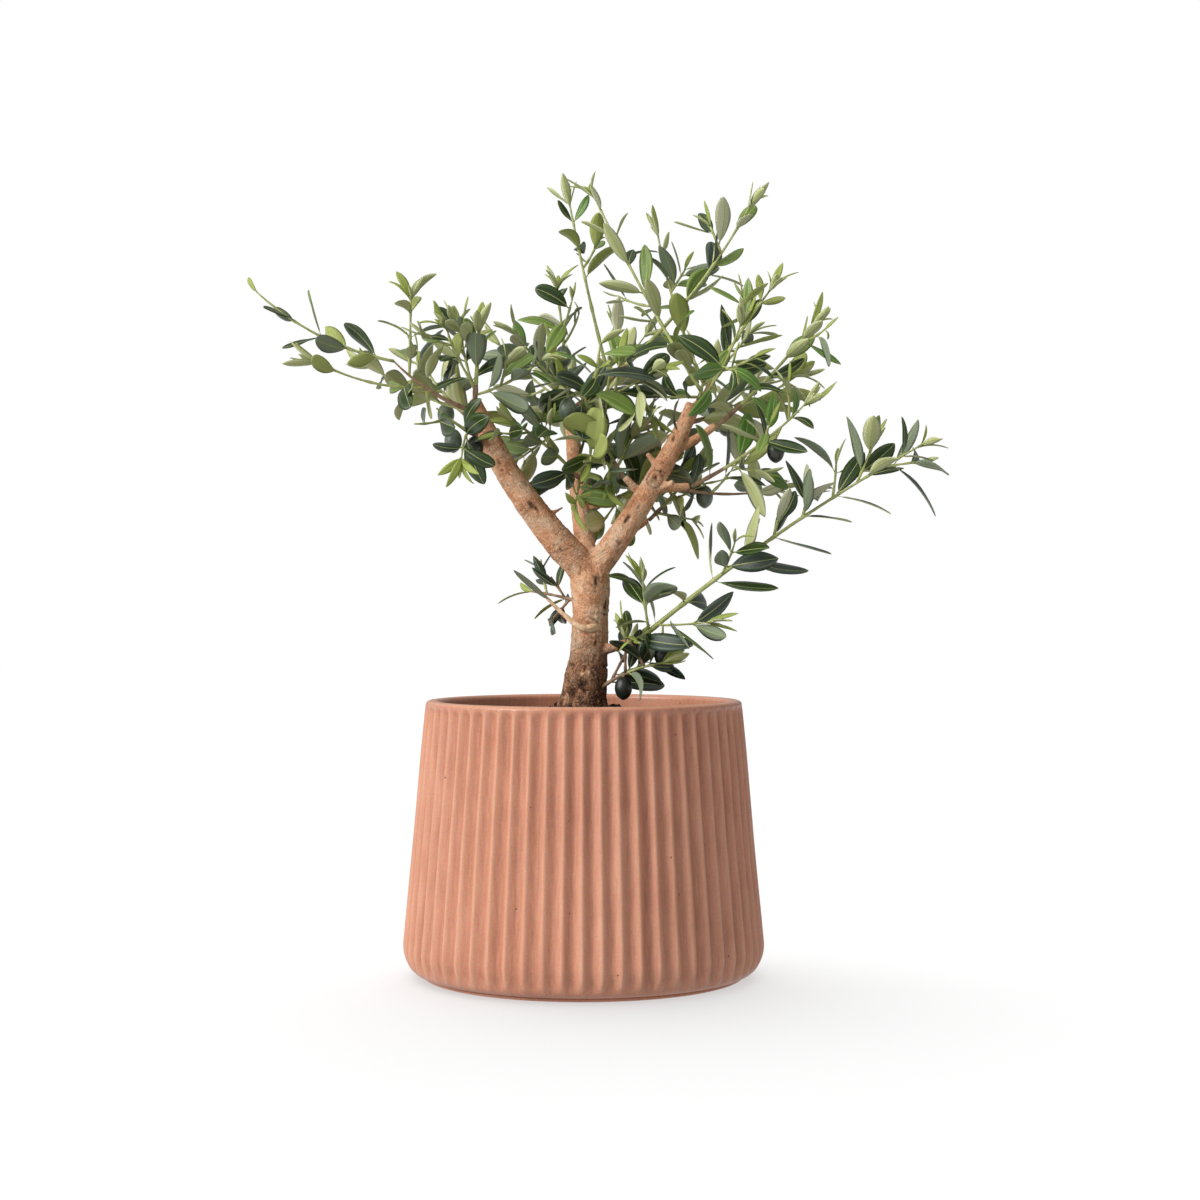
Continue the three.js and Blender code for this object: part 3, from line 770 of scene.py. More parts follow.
def sky_lattice(gap: Limits) -> Shell:
    """Upright and level sheets that fill a gap of sky from front to back.

    Args:
        gap: Left, right, low and high edge.

    Returns:
        Corners and faces.
    """
    left, right, low, high = gap
    depths = SKY_DEPTH + SKY_DEPTH[::-1]
    sheets = []
    for x in np.arange(left, right, SKY_MESH):
        sheets.append([(x, y, z) for y, z in zip(depths, (low, low, high, high))])
    for z in np.arange(low, high, SKY_MESH):
        sheets.append([(x, y, z) for x, y in zip((left, left, right, right), depths)])
    faces = [tuple(range(4 * sheet, 4 * sheet + 4)) for sheet in range(len(sheets))]
    return np.array(sheets).reshape(-1, 3), faces


class Obstacles:
    """Pieces in the way of new growth, each with the box it fills and the line that it belongs to."""

    def __init__(self, capacity: int = 8000) -> None:
        """Makes room for a number of pieces."""
        self.low = np.zeros((capacity, 3))
        self.high = np.zeros((capacity, 3))
        self.trees: list[BVHTree] = []
        self.owners: list[object] = []
        self.reach = 0.0

    def add(self, shell: Shell, owner: object = None) -> None:
        """Puts a piece in the way of later ones.

        Args:
            shell: Corners and faces of the piece.
            owner: Line whose own growth it doesn't hinder.
        """
        corners, faces = shell
        row = len(self.trees)
        self.low[row], self.high[row] = corners.min(0), corners.max(0)
        self.trees.append(BVHTree.FromPolygons(corners.tolist(), faces))
        self.owners.append(owner)

    def is_clear(self, shell: Shell, owner: object) -> bool:
        """Whether a piece is in the crown's reach and clear of all growth but its own line's.

        Args:
            shell: Corners and faces of the piece.
            owner: The line that it grows on.

        Returns:
            True where nothing is in the way.
        """
        corners, faces = shell
        low, high = corners.min(0), corners.max(0)
        if (low < CROWN_LOW - self.reach).any() or (high > CROWN_HIGH + self.reach).any():
            return False
        used = len(self.trees)
        near = ((self.low[:used] < high) & (self.high[:used] > low)).all(1)
        tree = BVHTree.FromPolygons(corners.tolist(), faces)
        return not any(
            self.owners[i] is not owner and self.trees[i].overlap(tree) for i in np.flatnonzero(near)
        )


# Rows of the plant, as in the part's source but for what the head of this file names

POT_HEIGHT = 170.0
CROWN_LOW = np.array((-199.0, -150.0, POT_HEIGHT + 2))
CROWN_HIGH = np.array((221.0, 160.0, 503.0))
FINE_REACH = 7.0
CLEARANCE = 0.5
STEM_ASIDE = 0.7

# Limbs whose bark is in full view, each with the share of its length, and how far ahead no leaf hangs
BARE_LIMBS = {"trunk": 1.0, "bough_left": 0.74, "bough_right": 0.97}
BARE_AHEAD = (14.0, 28.0, 42.0)

# Gaps of open sky in the crown, where no leaf or olive grows, by their left, right, low and high edges
OPEN_SKY = (
    (77.0, 98.0, 280.0, 308.0),
    (-129.0, -99.0, 328.0, 353.0),
    (0.0, 14.0, 378.0, 436.0),
    (154.0, 178.0, 386.0, 423.0),
    (-148.0, -129.0, 340.0, 368.0),
)
SKY_DEPTH = (-110.0, 130.0)
SKY_MESH = 8.0

DEAD_LIMB = "snag"
BOUGHS = {
    "bough_left": Bough("trunk", 0.96, Course(188, 44, 129, turn=8, curl=22, base=10.4, tip=6.2)),
    "bough_right": Bough("trunk", 0.96, Course(-6, 51, 124, turn=-5, curl=15, base=9, tip=4.8)),
    "bough_rear": Bough("trunk", 0.96, Course(112, 66, 116, turn=-8, curl=7, base=7, tip=4.2)),
    "bough_right_side": Bough("bough_right", 0.74, Course(14, 22, 33, curl=16, base=3.4, tip=2.6)),
    "bough_right_low": Bough("bough_right", 0.52, Course(16, 6, 26, base=3.2, tip=2.5)),
    "bough_left_low": Bough("bough_left", 0.76, Course(232, 26, 16, base=3.2, tip=2.5)),
    "bough_inner_left": Bough("bough_rear", 0.42, Course(-75, 44, 18, base=3.2, tip=2.4)),
    "bough_inner_right": Bough("bough_right", 0.47, Course(196, 46, 18, base=3, tip=2.3)),
    "bough_centre_low": Bough("bough_rear", 0.36, Course(10, 28, 17, base=3, tip=2.3)),
    "bough_right_back": Bough("bough_right", 0.2, Course(38, 30, 30, base=3, tip=2.2)),
    "bough_low": Bough("trunk", 0.42, Course(-22, 17, 33, base=3.6, tip=2.8)),
    DEAD_LIMB: Bough("trunk", 0.58, Course(212, 24, 66, curl=14, base=2, tip=0.9)),
}

MASSES = (
    MassPlan(
        "left_sweep", "bough_left", 0.97, seed=11, olives=1, leaf_width=0.39, leaf_size=0.84, wood=1.0,
        mood=Mood.MELLOW,
        stem=Course(187, 20, 56, curl=26, base=2.7, spurs=3),
        shoots=(
            Course(189, 10, 93, at=0.97, curl=32, pairs=5), Course(201, -4, 70, at=0.52, curl=30, pairs=3),
            Course(285, 83, 46, at=0.74, curl=2, pairs=3),
        ),
    ),
    MassPlan(
        "left_crown", "bough_left", 1, seed=23, leaf_width=0.41, leaf_size=0.8, mood=Mood.MELLOW,
        stem=Course(290, 76, 42, curl=4, base=2.4, pairs=3, spurs=2),
        shoots=(
            Course(128, 58, 44, at=0.16, curl=20, pairs=3, spurs=1),
            Course(222, 44, 40, at=0.24, curl=24, pairs=3, spurs=1),
            Course(348, 14, 46, at=0.12, curl=24, pairs=3, spurs=1),
        ),
    ),
    MassPlan(
        "left_low", "bough_left_low", 1, seed=37, olives=1, leaf_width=0.4, leaf_size=0.86,
        mood=Mood.SHADED, hung=((0, 0.05, 0.4, 0),),
        stem=Course(212, 24, 32, curl=12, base=2, pairs=2, spurs=1),
        shoots=(Course(262, -14, 28, at=0.2, curl=-50, pairs=2),),
    ),
    MassPlan(
        "left_back", "bough_left", 0.9, seed=41, olives=1,
        stem=Course(118, 18, 92, curl=18, base=2.4, pairs=4, spurs=1),
        shoots=(Course(160, 16, 66, at=0.35, curl=18, pairs=3, spurs=1),),
    ),
    MassPlan(
        "centre_spire", "bough_rear", 0.99, seed=53, leaf_size=0.92,
        stem=Course(-20, 33, 170, turn=-10, curl=24, base=2.6, pairs=6, spurs=1),
        shoots=(Course(169, 75, 114, at=0.17, curl=4, pairs=6, spurs=1),),
        extra=(Course(200, 66, 18, at=0.8, pairs=2), Course(-10, 50, 16, at=0.66, pairs=1)),
    ),
    MassPlan(
        "centre_top", "bough_rear", 1, seed=67, olives=1, leaf_size=0.86,
        stem=Course(254, 77, 74, turn=-10, curl=-6, base=2, pairs=4, spurs=2),
        shoots=(Course(205, 30, 46, at=0.14, curl=26, pairs=3, spurs=1),),
    ),
    MassPlan(
        "centre_front", "bough_rear", 0.93, seed=71, leaf_width=0.42, fill=1, hung=((2, 1.0, 9.0, 1),),
        stem=Course(282, 6, 86, curl=20, base=2.2, pairs=4, spurs=2),
        shoots=(Course(322, 8, 58, at=0.35, curl=20, pairs=3, spurs=1),),
    ),
    MassPlan(
        "centre_back", "bough_rear", 0.92, seed=83,
        stem=Course(92, 14, 104, curl=20, base=2.4, pairs=4, spurs=1),
        shoots=(
            Course(40, 30, 84, at=0.25, curl=20, pairs=4, spurs=1),
            Course(140, 26, 76, at=0.4, curl=18, pairs=3, spurs=1),
        ),
    ),
    MassPlan(
        "right_top", "bough_right", 1, seed=97, leaf_width=0.31, leaf_size=0.94,
        stem=Course(40, 72, 16, base=2.8),
        shoots=(
            Course(154, 57, 146, at=0.55, turn=4, curl=6, pairs=7, spurs=1),
            Course(128, 57, 112, at=0.9, turn=-18, curl=8, pairs=5),
            Course(20, 40, 46, at=0.75, curl=14, pairs=3),
        ),
        extra=(
            Course(30, 55, 18, at=0.62, pairs=2, origin=2), Course(215, 50, 16, at=0.74, pairs=2, origin=2),
            Course(200, 40, 26, at=0.9, pairs=3), Course(250, 30, 26, at=0.8, pairs=3),
        ),
    ),
    MassPlan(
        "right_fan", "bough_right", 0.95, seed=101, leaf_width=0.31, leaf_size=0.88, mood=Mood.FRESH,
        stem=Course(-24, 62, 88, curl=-12, base=2.2, pairs=5, spurs=2),
        shoots=(Course(-70, 20, 70, at=0.12, curl=26, pairs=3, spurs=1),),
    ),
    MassPlan(
        "right_side", "bough_right_side", 1, seed=113, leaf_width=0.31, leaf_size=0.9, mood=Mood.FRESH,
        stem=Course(-22, 38, 84, curl=12, base=2.2, pairs=5, spurs=2),
    ),
    MassPlan(
        "right_low", "bough_right_low", 1, seed=127, olives=2, leaf_width=0.31, leaf_size=0.94,
        mood=Mood.FRESH,
        stem=Course(-22, 24, 92, turn=-20, curl=14, base=2.2, pairs=4, spurs=3),
    ),
    MassPlan(
        "right_far", "bough_right_low", 0.6, seed=131, olives=1, leaf_width=0.32, wood=0.9, mood=Mood.DUSKY,
        stem=Course(20, -12, 66, curl=24, base=1.9, pairs=3, spurs=2),
    ),
    MassPlan(
        "right_back", "bough_right", 0.9, seed=149, olives=1,
        stem=Course(62, 8, 100, curl=22, base=2.4, pairs=4, spurs=2),
        shoots=(Course(24, 14, 70, at=0.3, curl=20, pairs=3, spurs=1),),
    ),
    MassPlan(
        "inner_left", "bough_inner_left", 1, seed=151, leaf_width=0.44, fill=2, mood=Mood.MELLOW,
        stem=Course(216, 44, 60, turn=-14, curl=-14, base=2, pairs=4, spurs=3),
        extra=(
            Course(262, -40, 24, at=0.05, pairs=2), Course(318, 30, 26, at=0.14, pairs=3),
            Course(300, -55, 24, at=0.3, pairs=2),
        ),
    ),
    MassPlan(
        "centre_low", "bough_centre_low", 0.9, seed=157, leaf_width=0.44, fill=3, mood=Mood.MELLOW,
        stem=Course(24, 20, 50, curl=22, base=1.9, pairs=3, spurs=3),
        extra=(
            Course(215, -50, 26, at=0.25, pairs=2), Course(190, 24, 30, at=0.3, pairs=3),
            Course(336, 20, 28, at=0.4, pairs=2),
        ),
    ),
    MassPlan(
        "inner_right", "bough_inner_right", 1, seed=163, olives=1, leaf_width=0.46, fill=3,
        mood=Mood.MELLOW,
        stem=Course(206, 58, 46, curl=6, base=1.9, pairs=3, spurs=3),
        extra=(
            Course(190, -20, 24, at=0.4, pairs=3), Course(250, -60, 22, at=0.3, pairs=2),
            Course(15, 45, 26, at=0.62, pairs=3), Course(340, 30, 24, at=0.8, pairs=2),
        ),
    ),
    MassPlan(
        "right_inner", "bough_right_back", 1, seed=173, leaf_width=0.42, fill=3, mood=Mood.MELLOW,
        hung=((0, 0.98, 1.0, 0), (3, 0.55, 1.0, 1)),
        stem=Course(20, 42, 44, curl=10, base=1.9, pairs=3, spurs=4),
        extra=(Course(335, -10, 24, at=0.15, pairs=2),),
    ),
    MassPlan(
        "low_sweep", "bough_low", 1, seed=181, leaf_width=0.28, phase=45.0, leaf_size=1.22, wood=0.0,
        mood=Mood.DUSKY, hung=((0, 0.02, 2.0, 1), (2, 0.12, 11.0, 0)),
        stem=Course(-9, 40, 208, curl=-11, base=2.4, pairs=9, spurs=2),
        shoots=(
            Course(244, 66, 32, at=0.04, curl=14, pairs=3), Course(-30, 0, 34, at=0.07, curl=6, pairs=2),
        ),
        extra=(
            Course(232, 42, 24, at=0.02, pairs=3), Course(250, -8, 22, at=0.03, pairs=2),
            Course(12, 16, 24, at=0.7, pairs=2), Course(-20, 66, 26, at=0.79, pairs=2),
            Course(2, 8, 22, at=0.88, pairs=2),
        ),
    ),
    MassPlan(
        "low_olives", "trunk", 0.19, seed=191, olives=2, fill=1, wood=0.5, mood=Mood.SHADED,
        hung=((0, 0.42, 1.0, 0),),
        stem=Course(-30, 34, 48, curl=-26, base=1.9, pairs=3, spurs=1),
        extra=(Course(25, 60, 24, at=0.22, pairs=3), Course(20, 40, 22, at=0.5, pairs=2)),
    ),
    MassPlan(
        "trunk_left", "trunk", 0.78, seed=199, leaf_width=0.34, leaf_size=0.7, wood=1.0, mood=Mood.SHADED,
        nest=False,
        stem=Course(152, 16, 34, curl=-10, base=1.6, pairs=2, spurs=1),
        extra=(Course(196, -48, 20, at=0.2, pairs=2), Course(176, 56, 16, at=0.3, pairs=1)),
    ),
)

# Small twigs that close the crown's inside once all else has grown, each with the mass that it belongs to
LATE_TWIGS = (
    ("inner_right", Course(30, 60, 24, at=0.15, pairs=3)),
    ("inner_right", Course(0, 30, 24, at=0.45, pairs=3)),
    ("inner_right", Course(270, -30, 22, at=0.85, pairs=3, origin=1)),
    ("centre_front", Course(330, -60, 24, at=0.75, pairs=3, origin=1)),
    ("centre_low", Course(240, 60, 24, at=0.75, pairs=3, origin=3)),
    ("right_top", Course(180, 0, 24, at=0.3, pairs=3)),
    ("right_top", Course(150, 30, 24, at=0.15, pairs=3)),
    ("right_inner", Course(150, -30, 24, at=0.15, pairs=3)),
    ("inner_left", Course(150, -30, 24, at=0.45, pairs=3, origin=1)),
    ("low_olives", Course(180, 60, 24, at=0.75, pairs=3)),
    ("low_olives", Course(270, 60, 24, at=0.45, pairs=3)),
    ("low_sweep", Course(150, -30, 24, at=0.6, pairs=3, origin=1)),
    ("low_sweep", Course(-10, 75, 12, at=0.5, pairs=2)),
    ("low_sweep", Course(10, 70, 12, at=0.6, pairs=2)),
    ("low_sweep", Course(-30, 75, 10, at=0.41, pairs=1)),
)


# Pot


def merge_poles(piece: Object) -> None:
    """Joins the corners of a turned mesh that meet on its axis, so that it is closed there."""
    joined_within = 1e-6
    made = bmesh.new()
    made.from_mesh(piece.data)
    bmesh.ops.remove_doubles(made, verts=made.verts, dist=joined_within)
    made.to_mesh(piece.data)
    made.free()
    piece.data.update()


@dataclass
class Pot:
    """Round pot whose wall widens towards the foot, with upright ribs, a plain lip and a low foot.

    foot_edge and groove_edge are points of the foot's outline, each with how far it lies inwards from the
    foot's side and how far above the foot's lower or upper end. Tones are values of the crest attribute: the
    crests paler where rubbed, the valleys darker as painted shade and the lip ring paler as a painted
    highlight.
    """

    height: float = POT_HEIGHT
    top_radius: float = 98.0
    shoulder: float = 0.5
    base_radius: float = 111.5
    turn_height: float = 18.0
    foot_radius: float = 100.0
    foot_height: float = 2.5
    foot_setback: float = 0.9
    foot_edge: tuple[Span, ...] = ((1.2, 0.0), (0.3, 0.3), (0.0, 0.9))
    groove_edge: tuple[Span, ...] = ((0.0, -0.7), (0.9, -0.2), (0.0, 0.3))
    wall: float = 9.0
    floor: float = 12.0
    lip_round: float = 2.8
    turn_rows: int = 12
    wall_rows: int = 26
    fade_rows: int = 6
    lip_rows: int = 6
    inner_rows: int = 5
    plain_band: float = 1.3
    rib_fade: float = 6.5
    rib_start: float = 0.4
    rib_rise: float = 0.6
    ribs: int = 60
    rib_depth: float = 2.9
    rib_columns: int = 12
    valley_power: float = 0.72
    plain_tone: float = 0.32
    # The lip ring is toned paler, a painted highlight along its edge
    lip_highlight_tone: float = 0.54
    lip_highlight_part: Span = (0.6, 0.1)
    # How much paler the crests are where rubbed, and how much darker the valleys are as painted shade
    crest_wear_and_valley_shade: float = 0.28
    crest_level: float = 0.55
    unevenness: float = 0.14
    wander: float = 0.07
    wander_height: float = 70.0
    wander_apart: float = 3.7
    sway: float = 0.35
    sway_turns: float = 2.2
    sway_height: float = 55.0
    sway_start: float = 12.0
    seed: int = 5

    def outer_profile(self) -> list[Span]:
        """Radius and height of the outside, from the middle of the underside to the top of the lip."""
        low = self.foot_height
        foot = self.foot_radius - self.foot_setback
        profile = [(0.0, 0.0), (foot / 2, 0.0)]
        profile += [(foot - inwards, up) for inwards, up in self.foot_edge]
        profile += [(foot - inwards, low + up) for inwards, up in self.groove_edge]
        for row in range(1, self.turn_rows + 1):
            angle = math.pi / 2 * row / self.turn_rows
            radius = lerp(self.foot_radius, self.base_radius, math.sin(angle))
            profile.append((radius, low + self.turn_height * (1 - math.cos(angle))))
        band, neck = self.height - self.plain_band - self.rib_fade, self.height - self.lip_round
        shoulder = self.top_radius + self.shoulder
        for rows, radii, heights in (
            (self.wall_rows, (self.base_radius, shoulder), (low + self.turn_height, band)),
            (self.fade_rows, (shoulder, self.top_radius), (band, neck)),
        ):
            profile += [(lerp(*radii, row / rows), lerp(*heights, row / rows)) for row in range(1, rows + 1)]
        for row in range(1, self.lip_rows + 1):
            angle = math.pi / 2 * row / self.lip_rows
            radius = self.top_radius - self.lip_round * (1 - math.cos(angle))
            profile.append((radius, neck + self.lip_round * math.sin(angle)))
        return profile

    def inner_radius(self, height: float) -> float:
        """Radius of the inner wall at a height."""
        return lerp(self.base_radius, self.top_radius, height / self.height) - self.wall

    def inner_profile(self) -> list[Span]:
        """Radius and height of the inside, from the lip to the middle of the floor."""
        profile = []
        for row in range(self.inner_rows + 1):
            angle = math.pi / 2 * row / self.inner_rows
            radius = self.inner_radius(self.height) + self.lip_round * (1 - math.sin(angle))
            profile.append((radius, self.height - self.lip_round * (1 - math.cos(angle))))
        for row in range(1, self.inner_rows + 1):
            height = lerp(self.height - self.lip_round, self.floor, row / self.inner_rows)
            profile.append((self.inner_radius(height), height))
        return [*profile, (self.inner_radius(self.floor) / 2, self.floor), (0.0, self.floor)]

    def build(self) -> Object:
        """Builds the pot with its ribs and the crest attribute."""
        profile = self.outer_profile() + self.inner_profile()
        radii, heights = np.array(profile).T
        columns = np.arange(self.ribs * self.rib_columns)
        angles = columns / len(columns) * math.tau
        rib = columns // self.rib_columns
        phase = (columns % self.rib_columns) / self.rib_columns
        draw = seeded(self.seed)
        depths = np.array([1 + (draw() * 2 - 1) * self.unevenness for _ in range(self.ribs)])
        low, top = self.foot_height, self.height - self.plain_band
        shown = smoothstep(heights, low + self.rib_start, low + self.turn_height * self.rib_rise)
        shown = shown * (1 - smoothstep(heights, top - self.rib_fade, top))
        shown = shown * (np.arange(len(profile)) < len(self.outer_profile()))
        # Painted highlight: the lip ring is toned paler
        lip = smoothstep(heights, *(self.height - self.lip_round * part for part in self.lip_highlight_part))
        tones = lerp(self.plain_tone, self.lip_highlight_tone, lip)
        rows = []
        crests = []
        for radius, height, share, tone in zip(radii, heights, shown, tones):
            sway = np.zeros(self.ribs)
            if radius > self.wall:
                sway = [self._sway(angle, height) for angle in angles[:: self.rib_columns]]
            swayed = np.interp(columns, columns[:: self.rib_columns], sway, period=len(columns))
            spots = [(i * self.wander_apart, height / self.wander_height, 0) for i in range(self.ribs)]
            shifts = np.array([noise.noise(spot) for spot in spots])
            bend = np.sin(np.pi * phase) * shifts[rib] * self.wander
            valley = (0.5 - 0.5 * np.cos(math.tau * (phase + bend))) ** self.valley_power * depths[rib]
            ring = np.maximum(radius - share * self.rib_depth * valley + swayed, 0.0)
            levels = np.full(len(ring), height)
            rows.append(np.stack([ring * np.sin(angles), -ring * np.cos(angles), levels], 1))
            # Crests paler where rubbed, valleys darker as painted shade
            crests.append(tone + self.crest_wear_and_valley_shade * share * (self.crest_level - valley))
        builder = Builder()
        builder.add((np.concatenate(rows), grid_faces(len(profile), len(columns))))
        piece = builder.piece("ribbed_pot", [TERRACOTTA.material()])
        write_attribute(piece, "crest", np.concatenate(crests))
        return piece

    def _sway(self, angle: float, height: float) -> float:
        """Slow unevenness of the hand-finished wall, none at the underside."""
        x, y = math.sin(angle) * self.sway_turns, math.cos(angle) * self.sway_turns
        spot = Vector((x, y, height / self.sway_height))
        return self.sway * noise.noise(spot) * min(1.0, height / self.sway_start)

    def dress(self) -> None:
        """Builds the pot and puts it in place of its solid."""
        piece = self.build()
        merge_poles(piece)
        settle(piece, "terracotta", "pot")


# Soil


@dataclass
class Soil:
    """Potting soil that fills the pot, with a low mound at the trunk and loose crumbs on top.

    mound holds the radius of the mound's top and of its foot, crumb_width and crumb_height the sides of a
    crumb against its size.
    """

    edge_level: float = 159.0
    mound_level: float = 166.0
    mound: Span = (12.0, 52.0)
    clear: float = 0.4
    rows: int = 46
    columns: int = 150
    lump: float = 0.9
    lump_size: float = 13.0
    grain: float = 0.6
    grain_size: float = 3.4
    grain_layer: float = 40.0
    crumbs: int = 620
    crumb_size: Span = (0.8, 2.8)
    crumb_width: Span = (0.6, 1.2)
    crumb_height: Span = (0.4, 0.9)
    crumb_lumps: float = 0.5
    crumb_raised: float = 0.35
    small_power: float = 2.5
    dry_share: float = 0.3
    seed: int = 17
    pot: Pot = field(default_factory=Pot)

    def level(self, x: float, y: float) -> float:
        """Height of the surface at a place, with its lumps."""
        far = math.hypot(x, y)
        mound = (self.mound_level - self.edge_level) * (1 - float(smoothstep(far, *self.mound)))
        coarse = noise.noise(Vector((x, y, 0)) / self.lump_size) * self.lump
        fine = noise.noise(Vector((x, y, self.grain_layer)) / self.grain_size) * self.lump * self.grain
        return self.edge_level + mound + coarse + fine

    def build_bed(self) -> Object:
        """Builds the closed bed of soil."""
        rim = self.pot.inner_radius(self.edge_level) - self.clear
        low = self.pot.floor + self.clear
        angles = np.arange(self.columns) / self.columns * math.tau
        points = []
        for row in range(self.rows):
            radius = rim * row / (self.rows - 1)
            for angle in angles:
                x, y = radius * math.sin(angle), -radius * math.cos(angle)
                points.append((x, y, self.level(x, y)))
        for radius in (self.pot.inner_radius(low) - self.clear, 0.0):
            points += [(radius * math.sin(angle), -radius * math.cos(angle), low) for angle in angles]
        builder = Builder()
        faces = [face[::-1] for face in grid_faces(self.rows + 2, self.columns)]
        builder.add((np.array(points), faces))
        piece = builder.piece("soil_bed", [SOIL_BED.material()])
        merge_poles(piece)
        return piece

    def build_crumbs(self) -> Object:
        """Builds the loose crumbs: small lumpy stones of peat and bark, half sunk in the bed."""
        draw = seeded(self.seed)
        ball = bmesh.new()
        bmesh.ops.create_icosphere(ball, subdivisions=1, radius=1)
        corners = np.array([corner.co for corner in ball.verts])
        faces = [tuple(corner.index for corner in face.verts) for face in ball.faces]
        ball.free()
        rim = self.pot.inner_radius(self.edge_level) - max(self.crumb_size)
        builder = Builder()
        for _ in range(self.crumbs):
            far, angle = rim * math.sqrt(draw()), math.tau * draw()
            x, y = far * math.sin(angle), -far * math.cos(angle)
            size = lerp(*self.crumb_size, draw() ** self.small_power)
            shape = np.array([1 + (draw() - 0.5) * self.crumb_lumps for _ in range(len(corners))])
            sides = (1.0, lerp(*self.crumb_width, draw()), lerp(*self.crumb_height, draw()))
            stretch = np.array(sides) * size
            turn = np.array(Matrix.Rotation(math.tau * draw(), 3, "Z"))
            place = np.array((x, y, self.level(x, y) + stretch[2] * self.crumb_raised))
            tone = int(draw() < self.dry_share)
            builder.add((corners * shape[:, None] * stretch @ turn.T + place, faces), tone)
        return builder.piece("soil_crumbs", [SOIL_BED.material(), SOIL_CRUMB.material()], smooth=False)

    def dress(self) -> None:
        """Builds bed and crumbs and puts them in place of the soil's solid."""
        settle(self.build_bed(), "soil", "soil")
        settle(self.build_crumbs(), "soil", "soil")


# Trunk and boughs


class TrunkLine(Line):
    """The trunk, with its buttressed flare at the ground and its swelling and rounded end at the fork."""

    FOOT = -1.5
    GROUND = 165.3
    SUNK = 6.0
    COURSE = Course(0, 79, 86 + SUNK, curl=14)
    WAIST = 10.8
    FLARE = 5.2
    FLARE_HEIGHT = 24.0
    SWELL = 1.4
    SWELL_PART = (0.7, 0.95)
    BUTTRESSES = 5
    BUTTRESS_DEPTH = 0.1
    BUTTRESS_HEIGHT = 14.0
    DOME = 0.7

    def __init__(self, step: float) -> None:
        """Walks the trunk from below the ground to the fork."""
        foot = Vector((self.FOOT, 0, self.GROUND))
        sunk = direction(self.COURSE.heading, self.COURSE.rise) * self.SUNK
        super().__init__(foot - sunk, self.COURSE, step)

    def radius_at(self, share: float, angle: float = 0.0) -> float:
        """Radius at a share of the length and an angle round it."""
        height = max(share * self.course.length - self.SUNK, 0)
        flare = self.FLARE * math.exp(-height / self.FLARE_HEIGHT)
        swell = self.SWELL * float(smoothstep(share, *self.SWELL_PART))
        lobes = math.cos(self.BUTTRESSES * angle) * self.BUTTRESS_DEPTH
        buttress = 1 + lobes * math.exp(-height / self.BUTTRESS_HEIGHT)
        end = self.DOME if share >= 1 else 1
        return (self.WAIST + flare + swell) * buttress * end


def grow_limbs(trunk_step: float, bough_step: float) -> dict[str, Line]:
    """Walks the trunk and every bough.

    Args:
        trunk_step: Longest stride on the trunk.
        bough_step: Longest stride on a bough.

    Returns:
        Lines by the names of their solids.
    """
    limbs: dict[str, Line] = {"trunk": TrunkLine(trunk_step)}
    for name, bough in BOUGHS.items():
        start, _ = limbs[bough.on].at(bough.at)
        limbs[name] = Line(start, bough.course, bough_step)
    return limbs


class Mark(Enum):
    """Kinds of mark on the bark."""

    PIT = "pit"
    KNOT = "knot"
    RING = "ring"
    WART = "wart"


@dataclass(frozen=True)
class Scar:
    """A mark on a limb: how far along and round it lies, its half width and how deep or high it is."""

    limb: str
    at: float
    angle: float
    width: float
    depth: float
    mark: Mark = Mark.PIT


def hump(away: np.ndarray, middle: float = 0.0, width: float = 1.0) -> np.ndarray:
    """A smooth rise to 1 at a distance, as wide as given."""
    return np.exp(-(((away - middle) / width) ** 2))


